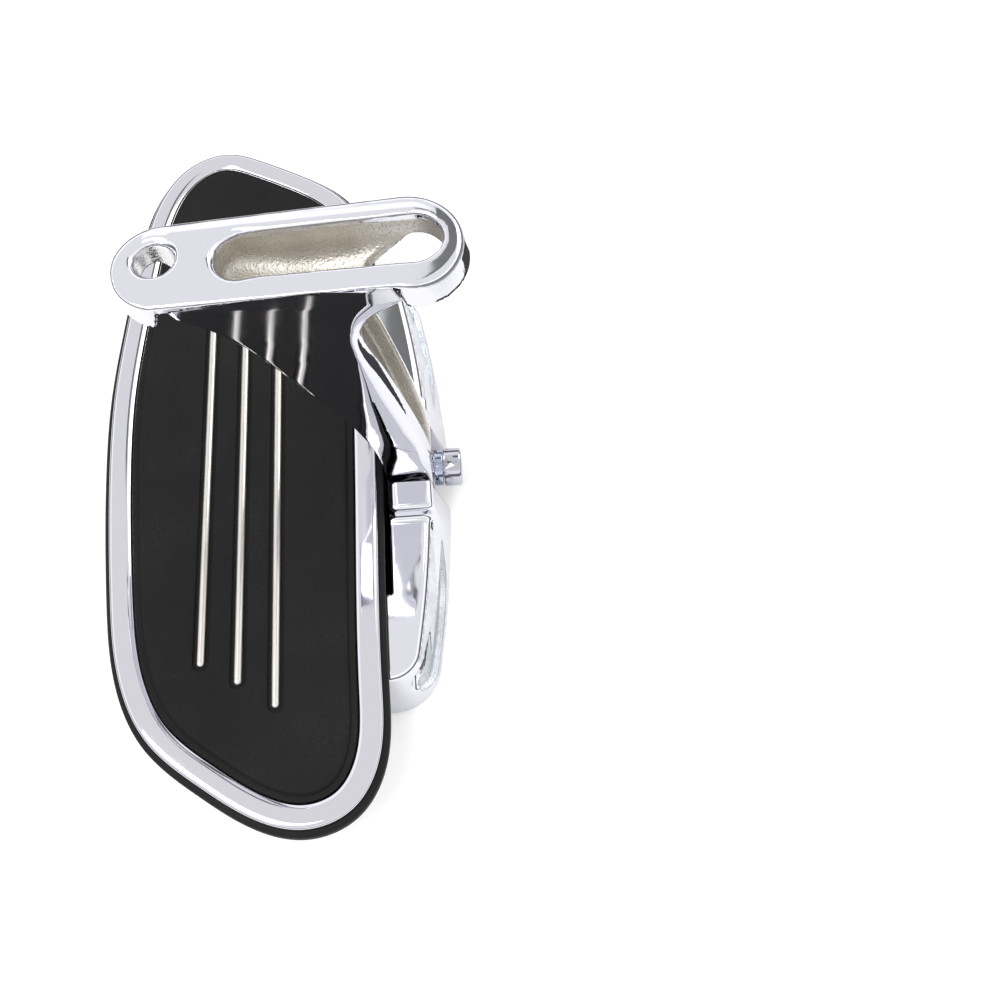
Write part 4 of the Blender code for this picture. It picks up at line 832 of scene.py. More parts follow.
@dataclass
class PivotBracket(Casting):
    """The bowed casting that carries the hinge: drafted wall, lugs, feet and pockets.

    A box is its low and its high corner, in X, in the distance from the pivot along Y, and in Z.
    """

    apex_x: float = 82.7
    end_x: float = 55.0
    end_y: float = 82.0
    end_radius: float = 20.2
    inner_x: float = 50.8
    height: float = 21.5
    draft: float = 7.2
    shoulder: float = 2.7
    lug_top: float = 28.5
    lug_middle: float = 18.7
    lug_half: float = 8.1
    lug_radius: float = 2.2
    lug_fillet: float = 3.4
    head_half: float = 5.8
    head_radius: float = 3.2
    gap_face: float = 14.0
    bore_clearance: float = 0.15
    foot: tuple = ((38.0, 66.0, 8.0), (54.0, 92.0, 17.7))
    groove: tuple = ((54.6, 0.0, 5.0), (57.5, 60.0, 40.0))
    chamber: tuple = ((PIVOT[0] - 7.2, LUG_END - 1.0, -3.0), (PIVOT[0] + 7.2, LUG_END + 5.0, 19.0))
    channel: tuple = ((PIVOT[0] - 6.5, LUG_END + 3.0, -3.0), (PIVOT[0] - 0.8, 87.0, 16.0))
    pocket_tip: float = 33.0
    pocket_depth: float = 2.6
    pocket_x: float = 45.0
    pocket_edge: list = field(default_factory=lambda: [
        (0.0, 8.8), (7.0, 6.3), (17.0, 3.6), (30.0, 2.8), (50.0, 2.8), (60.0, 3.4), (66.0, 5.6), (66.5, 7.2),
        (62.0, 9.0), (52.0, 9.8), (30.0, 9.9), (17.0, 9.9), (7.0, 9.4), (0.0, 9.0)])

    def __post_init__(self) -> None:
        """Works out the bow's circle and the outlines seen from above and from the side."""
        reach = self.apex_x - self.end_x
        square = reach**2 - self.end_radius**2 + self.end_y**2
        self.bow_radius = square / (2 * (reach - self.end_radius))
        self.bow_x = self.apex_x - self.bow_radius
        self.meet = math.atan2(self.end_y, self.end_x - self.bow_x)
        degrees = math.degrees(self.meet)
        low = arc((self.end_x, -self.end_y), self.end_radius, -90, -degrees, 16)
        bow = arc((self.bow_x, 0.0), self.bow_radius, -degrees, degrees, 26)
        high = arc((self.end_x, self.end_y), self.end_radius, degrees, 90, 16)
        inner = [(-60.0, self.end_y + self.end_radius), (-60.0, -self.end_y - self.end_radius)]
        self.plan = np.vstack([low, bow[1:-1], high, inner])
        px, head_z = PIVOT[0], self.lug_top - self.head_radius
        head_left = arc((px - self.head_half, head_z), self.head_radius, 180, 90, 6)
        head_right = arc((px + self.head_half, head_z), self.head_radius, 90, 18, 6)
        lug_foot = [(self.apex_x - 2.2, 1.0), (self.apex_x - 4, 0.6), (px - 9, 0.6)]
        self.lug = np.vstack([head_left, head_right, lug_foot])[::-1]
        self.pocket = open_spline([(self.pocket_tip + run, height) for run, height in self.pocket_edge], 3)
        self.clevis = ((px - 9.4, -1.0, -3.0), (120.0, self.gap_face, 60.0))

    def wall(self, x: np.ndarray, side: np.ndarray, z: np.ndarray) -> np.ndarray:
        """Distance to the drafted outer wall, which leans in as it rises."""
        lean = self.draft / (self.height - 0.8 * self.shoulder)
        return (polygon_field(self.plan, x, side) + lean * z) / math.hypot(1.0, lean)

    def along(self, x: np.ndarray, side: np.ndarray) -> np.ndarray:
        """Run along the wall from the pivot: arc length on the bow, then round its end.

        Args:
            x: coordinate in millimetres.
            side: the distance from the pivot's middle along Y.

        Returns:
            The run, the same on both sides of the pivot.
        """
        on_bow = np.arctan2(np.abs(side), np.maximum(x - self.bow_x, 1e-6))
        past = np.arctan2(np.abs(side) - self.end_y, x - self.end_x)
        bow = self.bow_radius * np.minimum(on_bow, self.meet)
        return bow + np.where(on_bow > self.meet, self.end_radius * np.clip(past - self.meet, 0, 1.4), 0)

    def pockets(self, x: np.ndarray, side: np.ndarray, z: np.ndarray) -> np.ndarray:
        """The two wall pockets, pointed towards the pivot.

        Args:
            x, z: coordinates in millimetres.
            side: the distance from the pivot's middle along Y.

        Returns:
            The pockets' field, negative where metal is taken away.
        """
        shape = polygon_field(self.pocket, self.along(x, side), z)
        floor = -self.wall(x, side, z) - self.pocket_depth
        return blend_max(blend_max(shape, floor, 1.6), self.pocket_x - x, 0.5)

    def solid(self, x: np.ndarray, y: np.ndarray, z: np.ndarray) -> np.ndarray:
        """Bow, lugs and feet joined, less groove, pockets, hollows, clevis and bores.

        Args:
            x, y, z: coordinates in millimetres.

        Returns:
            The bracket's field.
        """
        side = y - PIVOT[1]
        away = np.abs(side)
        bow = rounded_overlap(self.wall(x, side, z), z - self.height, self.shoulder)
        bow = blend_max(bow, self.inner_x - x, 0.8)
        lug_sides = np.abs(away - self.lug_middle) - self.lug_half
        lug = rounded_overlap(polygon_field(self.lug, x, z), lug_sides, self.lug_radius)
        body = blend_max(blend_min(bow, lug, self.lug_fillet), -z, 0.8)
        body = blend_min(body, box_field(x, away, z, *self.foot), 1.5)
        hollows = np.minimum(box_field(x, away, z, *self.chamber), box_field(x, away, z, *self.channel))
        pin = np.hypot(x - PIVOT[0], z - PIVOT[2]) - (PIN_RADIUS + self.bore_clearance)
        return carve(
            body, (box_field(x, away, z, *self.groove), 0.5), (self.pockets(x, side, z), 0.7), (hollows, 0.9),
            (box_field(x, away, z, *self.clevis), 0.5), (pin, BORE_EDGE), (screw_bores(x, away), BORE_EDGE))

    def rawness(self, x: np.ndarray, y: np.ndarray, z: np.ndarray) -> np.ndarray:
        """1 in the wall pockets, somewhat less in the hollows below.

        Args:
            x, y, z: coordinates in millimetres.

        Returns:
            The rawness of each point.
        """
        side = y - PIVOT[1]
        away = np.abs(side)
        below = (z < 19.5) & (away > LUG_END - 1.5) & (away < 88) & (np.abs(x - PIVOT[0]) < 7.6)
        return np.maximum(near_cut(self.pockets(x, side, z), 0.9), 0.8 * below * ramp(z, 0.9, 1.0))

    def painted_reflection_share(self, x: np.ndarray, y: np.ndarray, z: np.ndarray) -> np.ndarray:
        """1 on the floor and walls of the groove beside the board, where black is painted in as the
        reflection of the black rubber band.

        Args:
            x, y, z: coordinates in millimetres.

        Returns:
            The share of painted dark reflection at each point.
        """
        # Painted reflection: the groove's walls and floor are marked for black, the mirror image of the black
        # rubber band.
        (low_x, _, low_z), (high_x, high_away, _) = self.groove
        across = ramp(x, high_x + 0.4, -0.5) * ramp(x, low_x - 0.6, 0.4)
        return across * ramp(np.abs(y - PIVOT[1]), high_away + 0.4, -0.5) * ramp(z, low_z - 0.6, 0.4)


# The board

@dataclass
class BasePan(Casting):
    """The tray under the board: tapered wall, ribs below, seats for the feet and holes for the fasteners."""

    outline: np.ndarray = field(default_factory=lambda: np.zeros((0, 2)))
    table_step: float = 0.5
    wall_heights: tuple[float, ...] = (0.0, 3.0, 16.0, 22.9)
    wall_insets: tuple[float, ...] = (11.0, 9.5, 4.7, 4.0)
    edge_radius: float = 0.9
    bay_heights: tuple[float, ...] = (0.0, 3.0, 16.0, 19.9)
    bay_insets: tuple[float, ...] = (15.6, 13.5, 8.0, 9.0)
    bay_top: float = 19.9
    bay_fillet: float = 1.6
    rib_half: float = 1.75
    rib_places: tuple[float, ...] = (-105.0, -52.0, 0.0, 52.0, 105.0)
    foot_middle: float = 79.0
    block_x: float = 34.5
    block_half: float = 16.5
    seat_x: float = 37.7
    seat_half: float = 13.3
    seat_top: float = 18.0
    screw_top: float = 22.4

    def __post_init__(self) -> None:
        """Tables the outline's distance on a half-millimetre grid."""
        self.table_x = np.arange(-64.0, 64.5, self.table_step)
        self.table_y = np.arange(-170.0, 170.5, self.table_step)
        self.table = polygon_field(self.outline, self.table_x[:, None], self.table_y[None, :])

    def plan(self, x: np.ndarray, y: np.ndarray) -> np.ndarray:
        """The outline's distance read from the table: linear between its four nearest values.

        Args:
            x, y: coordinates in millimetres.

        Returns:
            The distance, negative inside the outline.
        """
        u = np.clip((x - self.table_x[0]) / self.table_step, 0, len(self.table_x) - 1.001)
        v = np.clip((y - self.table_y[0]) / self.table_step, 0, len(self.table_y) - 1.001)
        u, v = np.broadcast_arrays(u, v)
        i, j = u.astype(int), v.astype(int)
        a, b = u - i, v - j
        low = self.table[i, j] * (1 - a) + self.table[i + 1, j] * a
        high = self.table[i, j + 1] * (1 - a) + self.table[i + 1, j + 1] * a
        return low * (1 - b) + high * b

    def solid(self, x: np.ndarray, y: np.ndarray, z: np.ndarray) -> np.ndarray:
        """Tapered tray, less the bays between its ribs, the foot seats and the fastener holes.

        Args:
            x, y, z: coordinates in millimetres.

        Returns:
            The tray's field.
        """
        plan = self.plan(x, y)
        outer = plan + np.interp(z, self.wall_heights, self.wall_insets)
        tray = rounded_overlap(outer, np.abs(z - 0.5 * PAN_TOP) - 0.5 * PAN_TOP, self.edge_radius)
        bay = np.maximum(plan + np.interp(z, self.bay_heights, self.bay_insets), z - self.bay_top)
        bay = blend_max(bay, self.rib_half - np.abs(x), self.bay_fillet)
        for place in self.rib_places:
            bay = blend_max(bay, self.rib_half - np.abs(y - place), self.bay_fillet)
        away = np.abs(y - PIVOT[1])
        from_foot = np.abs(away - self.foot_middle)
        block = np.maximum(self.block_x - x, from_foot - self.block_half)
        bay = blend_max(bay, -block, self.bay_fillet)
        seat = np.maximum(np.maximum(self.seat_x - x, from_foot - self.seat_half), z - self.seat_top)
        studs = np.hypot(np.abs(x) - STUD_X, np.abs(y) - STUD_Y) - BORE_RADIUS
        screws = np.maximum(screw_bores(x, away), z - self.screw_top)
        return carve(tray, (bay, 1.2), (seat, 0.4), (studs, BORE_EDGE), (screws, BORE_EDGE))

    def rawness(self, x: np.ndarray, y: np.ndarray, z: np.ndarray) -> np.ndarray:
        """0.85 on the floor and walls of the bays, 0 on the outer wall and the ribs' feet."""
        within = ramp(-self.plan(x, y), 14.0, 1.5)
        return 0.85 * within * ramp(z, 0.8, 1.0) * (z < PAN_TOP - 2.0)


@dataclass
class Board:
    """The layers of the board: band, ring, tread and its strips."""

    outline: np.ndarray
    ring_width: float = 9.2
    strip_x: tuple[float, ...] = (-14.0, 0.0, 14.0)
    strip_low: tuple[float, ...] = (-96.2, -104.2, -114.1)
    strip_length: float = 200.0
    strip_width: float = 3.2
    groove_width: float = 6.0
    groove_depth: float = 1.1
    groove_margin: float = 1.4

    def build_band(self, finish: "Finish") -> None:
        """The rubber band that shows below the ring.

        Args:
            finish: the finish to dress it with.
        """
        section = rounded_corners([
            (13.2, RUBBER_FLOOR), (-2.3, RUBBER_FLOOR), (-2.3, BAND_TOP - 1.3), (-0.9, BAND_TOP),
            (13.2, BAND_TOP),
        ], 0.8, 5, True)
        points, faces = around(self.outline, section, True)
        finish.dress(make_piece("rubber_band", points, faces, Body.BOARD, ("rubber_base",)))

    def build_ring(self, finish: "Finish") -> None:
        """The bright ring: rounded outer edge, flat top and a rolled inner shoulder.

        Args:
            finish: the finish to dress it with.
        """
        low, step = RING_FLOOR, RING_FLOOR + 0.95
        section = rounded_corners([
            (13.3, low), (0.1, low), (0.0, low + 0.6), (0.2, RING_TOP - 0.7), (1.6, RING_TOP),
            (6.9, RING_TOP), (8.7, RING_TOP - 0.8), (self.ring_width, step + 0.1), (13.3, step),
        ], 1.2, 6, True)
        points, faces = around(self.outline, section, True)
        nodes = ("trim_ring",)
        finish.dress(make_piece("bright_ring", points, faces, Body.BOARD, nodes, 55.0))

    def bar(self, x: float, start: float, width: float, margin: float, steps: int) -> np.ndarray:
        """Outline of a bar along Y with round ends, seen from above.

        Args:
            x, start: the middle of its width, and the strip's low end.
            width: how wide it is.
            margin: how far it reaches past the strip at each end.
            steps: chords in each end.

        Returns:
            Points on the outline, counter-clockwise.
        """
        half = width / 2
        end = start + self.strip_length + margin - half
        low = arc((x, start - margin + half), half, 180, 360, steps)
        return np.vstack([low, arc((x, end), half, 0, 180, steps)])

    def build_tread(self, finish: "Finish") -> None:
        """The moulded tread: skirt, channel, soft-edged plateau and three grooves with rounded mouths.

        Args:
            finish: the finish to dress it with.
        """
        edge, body = self.ring_width + GAP, 13.6
        skirt, channel, rise = RING_FLOOR + 1.25, RING_FLOOR + 1.25 + 0.4, edge + 2.3
        section = np.array([
            (body, 26.3), (body, skirt), (edge + 0.1, skirt), (edge + 0.1, channel), (rise, channel),
            (rise + 0.12, channel + 0.3), (rise + 0.3, channel + 0.75), (rise + 0.62, TREAD_TOP - 0.42),
            (rise + 1.1, TREAD_TOP - 0.2), (rise + 1.7, TREAD_TOP - 0.06), (rise + 2.4, TREAD_TOP),
            (rise + 3.4, TREAD_TOP),
        ])
        points, faces = around(self.outline, section, False)
        tread = make_piece("tread_mat", points, faces, Body.BOARD, ("tread_pad",), 30.0)
        floor = TREAD_TOP - self.groove_depth
        mouth = np.array([(0.35, floor), (0.08, floor + 0.2), (0.0, floor + 0.5), (-0.06, TREAD_TOP - 0.25),
                          (-0.25, TREAD_TOP - 0.08), (-0.6, TREAD_TOP + 0.02), (-0.6, TREAD_TOP + 3.0)])
        for x, start in zip(self.strip_x, self.strip_low):
            outline = self.bar(x, start, self.groove_width, self.groove_margin, 14)
            cut_out(tread, *around(outline, mouth, False))
        tread.data.shade_smooth()
        tread.data.set_sharp_from_angle(angle=math.radians(30.0))
        finish.dress(tread)

    def build_strips(self, finish: "Finish") -> None:
        """The half-round strips, their ends rounded down to the groove.

        Args:
            finish: the finish to dress them with.
        """
        floor = TREAD_TOP - self.groove_depth + GAP
        half = self.strip_width / 2
        angle = np.radians(np.linspace(0, 84, 9))
        dome = np.column_stack([half * (1 - np.cos(angle)), floor + 0.3 + 1.4 * np.sin(angle)])
        section = np.vstack([[(0.0, floor)], dome])
        for number, (x, start) in enumerate(zip(self.strip_x, self.strip_low), 1):
            points, faces = around(self.bar(x, start, self.strip_width, 0.0, 14), section, False)
            nodes = (f"tread_strip_{number}",)
            finish.dress(make_piece(f"tread_bar_{number}", points, faces, Body.BOARD, nodes))


# Fasteners and the parts of the hinge

@dataclass
class Fasteners:
    """Nuts, washers and screws under the board, and the pin with its clips and washers."""

    nut_radius: float = 5.7
    nut_low: float = 13.3
    nut_high: float = 18.3
    clip_radius: float = 6.4
    clip_mouth: float = 2.4

    def build_pad_nuts(self, finish: "Finish") -> None:
        """A washer and a chamfered hexagon nut on each stud.

        Args:
            finish: the finish to dress them with.
        """
        washer = profile_rows([(3.3, 18.6), (6.2, 18.6), (6.2, 19.6), (3.3, 19.6)], 0.25, True)
        low, high, inf = self.nut_low, self.nut_high, math.inf
        flat = self.nut_radius * math.cos(math.pi / 6)
        nut = np.array([
            (3.9, low, inf), (flat + 0.1, low, flat), (flat + 0.4, low + 0.4, flat), (7.5, low + 0.9, flat),
            (7.5, high - 0.9, flat), (flat + 0.4, high - 0.4, flat), (flat + 0.1, high, flat),
            (3.9, high, inf), (3.3, high - 0.6, inf), (3.3, low + 0.6, inf)])
        places = [(x, y) for y in (-STUD_Y, STUD_Y) for x in (-STUD_X, STUD_X)]
        for number, (x, y) in enumerate(places, 1):
            centre = np.array([x, y, 0.0])
            for name, rows, node in (("washer", washer, "pad_washer"), ("stud_nut", nut, "pad_nut")):
                points, faces = turned(rows, Axis.Z, centre, 48, True)
                piece = make_piece(
                    f"{name}_{number}", points, faces, Body.BOARD, (f"{node}_{number}",), 35.0)
                finish.dress(piece)

    def build_foot_screws(self, finish: "Finish") -> None:
        """Socket-head screws that hold the bracket's feet, heads down.

        Args:
            finish: the finish to dress them with.
        """
        socket = np.array([(0.0, 6.0, math.inf), (2.75, 6.0, 2.51), (2.9, 3.9, 2.51)])
        profile = np.vstack([socket, round_rows([
            (3.2, 3.7), (4.3, 3.7), (4.8, 3.9), (5.0, 4.4), (5.0, 7.5), (4.8, 7.7), (3.0, 7.7), (3.0, 21.2),
            (2.5, 21.7), (0.0, 21.7)])])
        places = [PIVOT[1] + side * place for side in (-1, 1) for place in SCREW_PLACES]
        for number, y in enumerate(places, 1):
            points, faces = turned(profile, Axis.Z, np.array([SCREW_X, y, 0.0]), 48, False)
            nodes = (f"bracket_screw_{number}",)
            piece = make_piece(f"foot_screw_{number}", points, faces, Body.BOARD, nodes, 30.0)
            finish.dress(piece)

    def build_pin(self, finish: "Finish") -> None:
        """The hinge pin, its clips and the washers beside the knuckle.

        Args:
            finish: the finish to dress them with.
        """
        half, groove, deep = LUG_END + 3.6, LUG_END + 0.2, PIN_RADIUS - 0.8
        upper = [(0.0, half), (3.4, half), (PIN_RADIUS, half - 0.6), (PIN_RADIUS, groove + 1.3),
                 (deep, groove + 1.3), (deep, groove), (PIN_RADIUS, groove), (PIN_RADIUS, 2.2), (3.4, 1.2),
                 (deep, 0.3)]
        rows = [(radius, -along) for radius, along in upper] + list(reversed(upper))
        points, faces = turned(profile_rows(rows, 0.12, False), Axis.Y, PIVOT, 64, False)
        finish.dress(make_piece("pin_shaft", points, faces, Body.BOARD, ("hinge_pin",), 30.0))
        washer = profile_rows([(4.3, 12.8), (8.6, 12.8), (8.6, 13.7), (4.3, 13.7)], 0.2, True)
        for number, side in enumerate((-1, 1), 1):
            points, faces = turned(washer, Axis.Y, PIVOT, 64, True)
            points[:, 1] = PIVOT[1] + side * (points[:, 1] - PIVOT[1])
            faces = faces if side > 0 else [tuple(reversed(face)) for face in faces]
            nodes = (f"thrust_washer_{number}",)
            piece = make_piece(f"thrust_ring_{number}", points, faces, Body.BOARD, nodes, 35.0)
            finish.dress(piece)
            self.build_clip(number, side, finish)

    def build_clip(self, number: int, side: int, finish: "Finish") -> None:
        """An open clip: a flat C in the pin's groove, its edges eased.

        Args:
            number: its number.
            side: -1 or 1, the side of the pivot along Y.
            finish: the finish to dress it with.
        """
        inner = PIN_RADIUS - 0.5
        start = math.degrees(math.asin(self.clip_mouth / self.clip_radius)) - 90
        ring = arc((PIVOT[0], PIVOT[2]), self.clip_radius, start, 180 - start, 40)
        start = math.degrees(math.asin(self.clip_mouth / (inner + 0.9))) - 90
        bore = arc((PIVOT[0], PIVOT[2]), inner, 180 - start, start, 32)
        outline = rounded_corners([tuple(p) for p in np.vstack([ring, bore])], 0.25, 2, True)
        middle = LUG_END + GAP + 0.5
        section = np.array([
            (0.12, middle - 0.5), (0.0, middle - 0.38), (0.0, middle + 0.38), (0.12, middle + 0.5)])
        points, faces = around(outline, section, False)
        points = np.column_stack([points[:, 0], PIVOT[1] + side * points[:, 2], points[:, 1]])
        faces = faces if side < 0 else [tuple(reversed(face)) for face in faces]
        nodes = (f"pin_clip_{number}",)
        finish.dress(make_piece(f"clip_{number}", points, faces, Body.BOARD, nodes, 35.0))


@dataclass
class DragPlunger:
    """The plug that stands out of the knuckle, with its collar, spring and ball."""

    ball_radius: float = 2.4
    ball_at: float = 5.9
    coil_radius: float = 2.15
    wire_radius: float = 0.34
    coil_start: float = 9.0
    coil_end: float = 17.2
    turns: int = 6

    def build(self, bright: "Finish", blued: "Finish", steel: "Finish") -> None:
        """Builds the plug with its socket, the collar, the spring and the ball.

        Args:
            bright: the plug's finish.
            blued: the collar's finish.
            steel: the finish of the spring and the ball.
        """
        outside = round_rows([
            (0.0, 17.6), (2.8, 17.6), (2.8, 5.0), (4.5, 5.0), (4.5, 13.7), (7.55, 13.7), (7.85, 13.82),
            (8.0, 14.15), (8.0, 19.9), (7.92, 20.5), (7.6, 20.95), (7.1, 21.2), (6.5, 21.3), (5.6, 21.3)])
        socket = np.array([(5.0, 21.1, 4.35), (4.8, 20.9, 4.0), (4.6, 18.75, 3.98), (0.0, 18.7, math.inf)])
        points, faces = turned(np.vstack([outside, socket]), Axis.X, PIVOT, 72, False)
        bright.dress(make_piece("plug_cap", points, faces, Body.ARM, ("drag_plug",), 32.0))
        collar = profile_rows([(4.8, 9.4), (7.6, 9.4), (7.6, 13.4), (4.8, 13.4)], 0.6, True)
        points, faces = turned(collar, Axis.X, PIVOT, 72, True)
        blued.dress(make_piece("collar_ring", points, faces, Body.ARM, ("lock_collar",), 35.0))
        angle = np.radians(np.linspace(-90, 90, 17))
        ball = np.column_stack([np.cos(angle), np.sin(angle)]) * self.ball_radius + [0.0, self.ball_at]
        points, faces = turned(round_rows(ball), Axis.X, PIVOT, 32, False)
        steel.dress(make_piece("plunger_ball", points, faces, Body.ARM, ("drag_ball",), None))
        self.build_spring(steel)

    def build_spring(self, finish: "Finish") -> None:
        """The coil: a round wire carried along a helix.

        Args:
            finish: the finish to dress it with.
        """
        sides = 10
        turn = np.linspace(0, 2 * np.pi * self.turns, self.turns * 24 + 1)
        along = self.coil_start + (self.coil_end - self.coil_start) * turn / turn[-1]
        centre = np.column_stack([along, self.coil_radius * np.cos(turn), self.coil_radius * np.sin(turn)])
        tangent = np.gradient(centre, axis=0)
        tangent /= np.linalg.norm(tangent, axis=1)[:, None]
        out = np.column_stack([np.zeros_like(turn), np.cos(turn), np.sin(turn)])
        across = np.cross(tangent, out)
        angle = 2 * np.pi * np.arange(sides) / sides
        wire = out[:, None] * np.cos(angle)[None, :, None] + across[:, None] * np.sin(angle)[None, :, None]
        points = (centre[:, None] + self.wire_radius * wire).reshape(-1, 3) + PIVOT
        faces = ring_faces(len(turn), sides, False)
        faces += [tuple(reversed(range(sides))), tuple(range((len(turn) - 1) * sides, len(turn) * sides))]
        nodes = ("drag_spring",)
        finish.dress(make_piece("plunger_spring", points, faces, Body.ARM, nodes, None))


# Finishes

class Graph:
    """Places and joins shader nodes in a tree."""

    def __init__(self, tree: bpy.types.NodeTree) -> None:
        """Keeps the tree that the nodes go into."""
        self.tree = tree

    def node(self, kind: str, settings: dict | None = None, **sockets: object) -> bpy.types.Node:
        """Adds a node, sets its properties, and joins or sets its inputs.

        Args:
            kind: the node's type name, without its ShaderNode prefix.
            settings: property values.
            **sockets: inputs by name with spaces as underscores; an output socket is linked.

        Returns:
            The node.
        """
        made = self.tree.nodes.new("ShaderNode" + kind)
        for key, value in (settings or {}).items():
            setattr(made, key, value)
        for key, value in sockets.items():
            self.feed(made, key.replace("_", " "), value)
        return made

    def feed(self, node: bpy.types.Node, name: str | int, value: object) -> None:
        """Links an output socket to an input, or sets the input's value.

        Args:
            node: the node whose input it is.
            name: the input's name or index.
            value: an output socket or a plain value.
        """
        socket = node.inputs[name]
        if isinstance(value, bpy.types.NodeSocket):
            self.tree.links.new(value, socket)
        else:
            socket.default_value = value

    def math(self, operation: str, a: object, b: object = 0.0, clamp: bool = False) -> bpy.types.NodeSocket:
        """Adds a Math node.

        Args:
            operation: the node's operation.
            a, b: its operands, sockets or numbers.
            clamp: whether the result is held between 0 and 1.

        Returns:
            The result's socket.
        """
        made = self.node("Math", {"operation": operation, "use_clamp": clamp})
        self.feed(made, 0, a)
        self.feed(made, 1, b)
        return made.outputs[0]

    def mixed(self, kind: str, first: int, outlet: int, values: tuple) -> bpy.types.NodeSocket:
        """Adds a Mix node.

        Args:
            kind: the node's data type.
            first: the index of its first operand, which the second follows.
            outlet: the index of its result.
            values: the share, the operand for 0 and the operand for 1.

        Returns:
            The result's socket.
        """
        made = self.node("Mix", {"data_type": kind})
        for index, value in zip((0, first, first + 1), values):
            self.feed(made, index, value)
        return made.outputs[outlet]

    def mix(self, share: object, a: object, b: object) -> bpy.types.NodeSocket:
        """A colour mix's result: a where the share is 0, b where it is 1."""
        return self.mixed("RGBA", 6, 2, (share, a, b))

    def blend(self, share: object, a: object, b: object) -> bpy.types.NodeSocket:
        """A number mix's result: a where the share is 0, b where it is 1."""
        return self.mixed("FLOAT", 2, 0, (share, a, b))

    def spread(
        self, value: object, low: float, high: float, to_low: float = 0.0, to_high: float = 1.0
    ) -> bpy.types.NodeSocket:
        """Maps a value's range to another, held at its ends.

        Args:
            value: the socket to map.
            low, high: the range it has.
            to_low, to_high: the range it gets.

        Returns:
            The result's socket.
        """
        made = self.node("MapRange", {"clamp": True})
        amounts = {"Value": value, "From Min": low, "From Max": high, "To Min": to_low, "To Max": to_high}
        for name, amount in amounts.items():
            self.feed(made, name, amount)
        return made.outputs[0]

    def scaled(self, share: object, factor: float) -> bpy.types.NodeSocket:
        """A socket's value times a number."""
        return self.math("MULTIPLY", share, factor)

    def relief(self, shader: bpy.types.Node, height: object, strength: float, distance: float) -> None:
        """Bends a shader's normal by a height.

        Args:
            shader: the shader.
            height: the height's socket.
            strength: how strong the relief is, from 0 to 1.
            distance: how high a height of 1 stands, in metres.
        """
        bump = self.node("Bump", Height=height, Strength=strength, Distance=distance)
        self.feed(shader, "Normal", bump.outputs["Normal"])


def shade(colour: tuple[float, float, float], *factors: float) -> tuple[float, float, float, float]:
    """A colour with each channel times its factor, or all times the only one, as an opaque socket value."""
    red, green, blue = factors * 3 if len(factors) == 1 else factors
    return (colour[0] * red, colour[1] * green, colour[2] * blue, 1.0)


def new_group(
    name: str, inputs: dict[str, float | str], outputs: tuple[str, ...]
) -> tuple[bpy.types.NodeTree, Graph, bpy.types.Node, bpy.types.Node]:
    """Starts a shader node group.

    Args:
        name: the group's name.
        inputs: input names with their default numbers, or "vector".
        outputs: names of its outputs, each a number.

    Returns:
        The group, a graph to fill it with, and its input and output nodes.
    """
    tree = bpy.data.node_groups.new(name, "ShaderNodeTree")
    for key, value in inputs.items():
        kind = "NodeSocketVector" if value == "vector" else "NodeSocketFloat"
        socket = tree.interface.new_socket(key, in_out="INPUT", socket_type=kind)
        if value != "vector":
            socket.default_value = value
    for key in outputs:
        tree.interface.new_socket(key, in_out="OUTPUT", socket_type="NodeSocketFloat")
    return tree, Graph(tree), tree.nodes.new("NodeGroupInput"), tree.nodes.new("NodeGroupOutput")


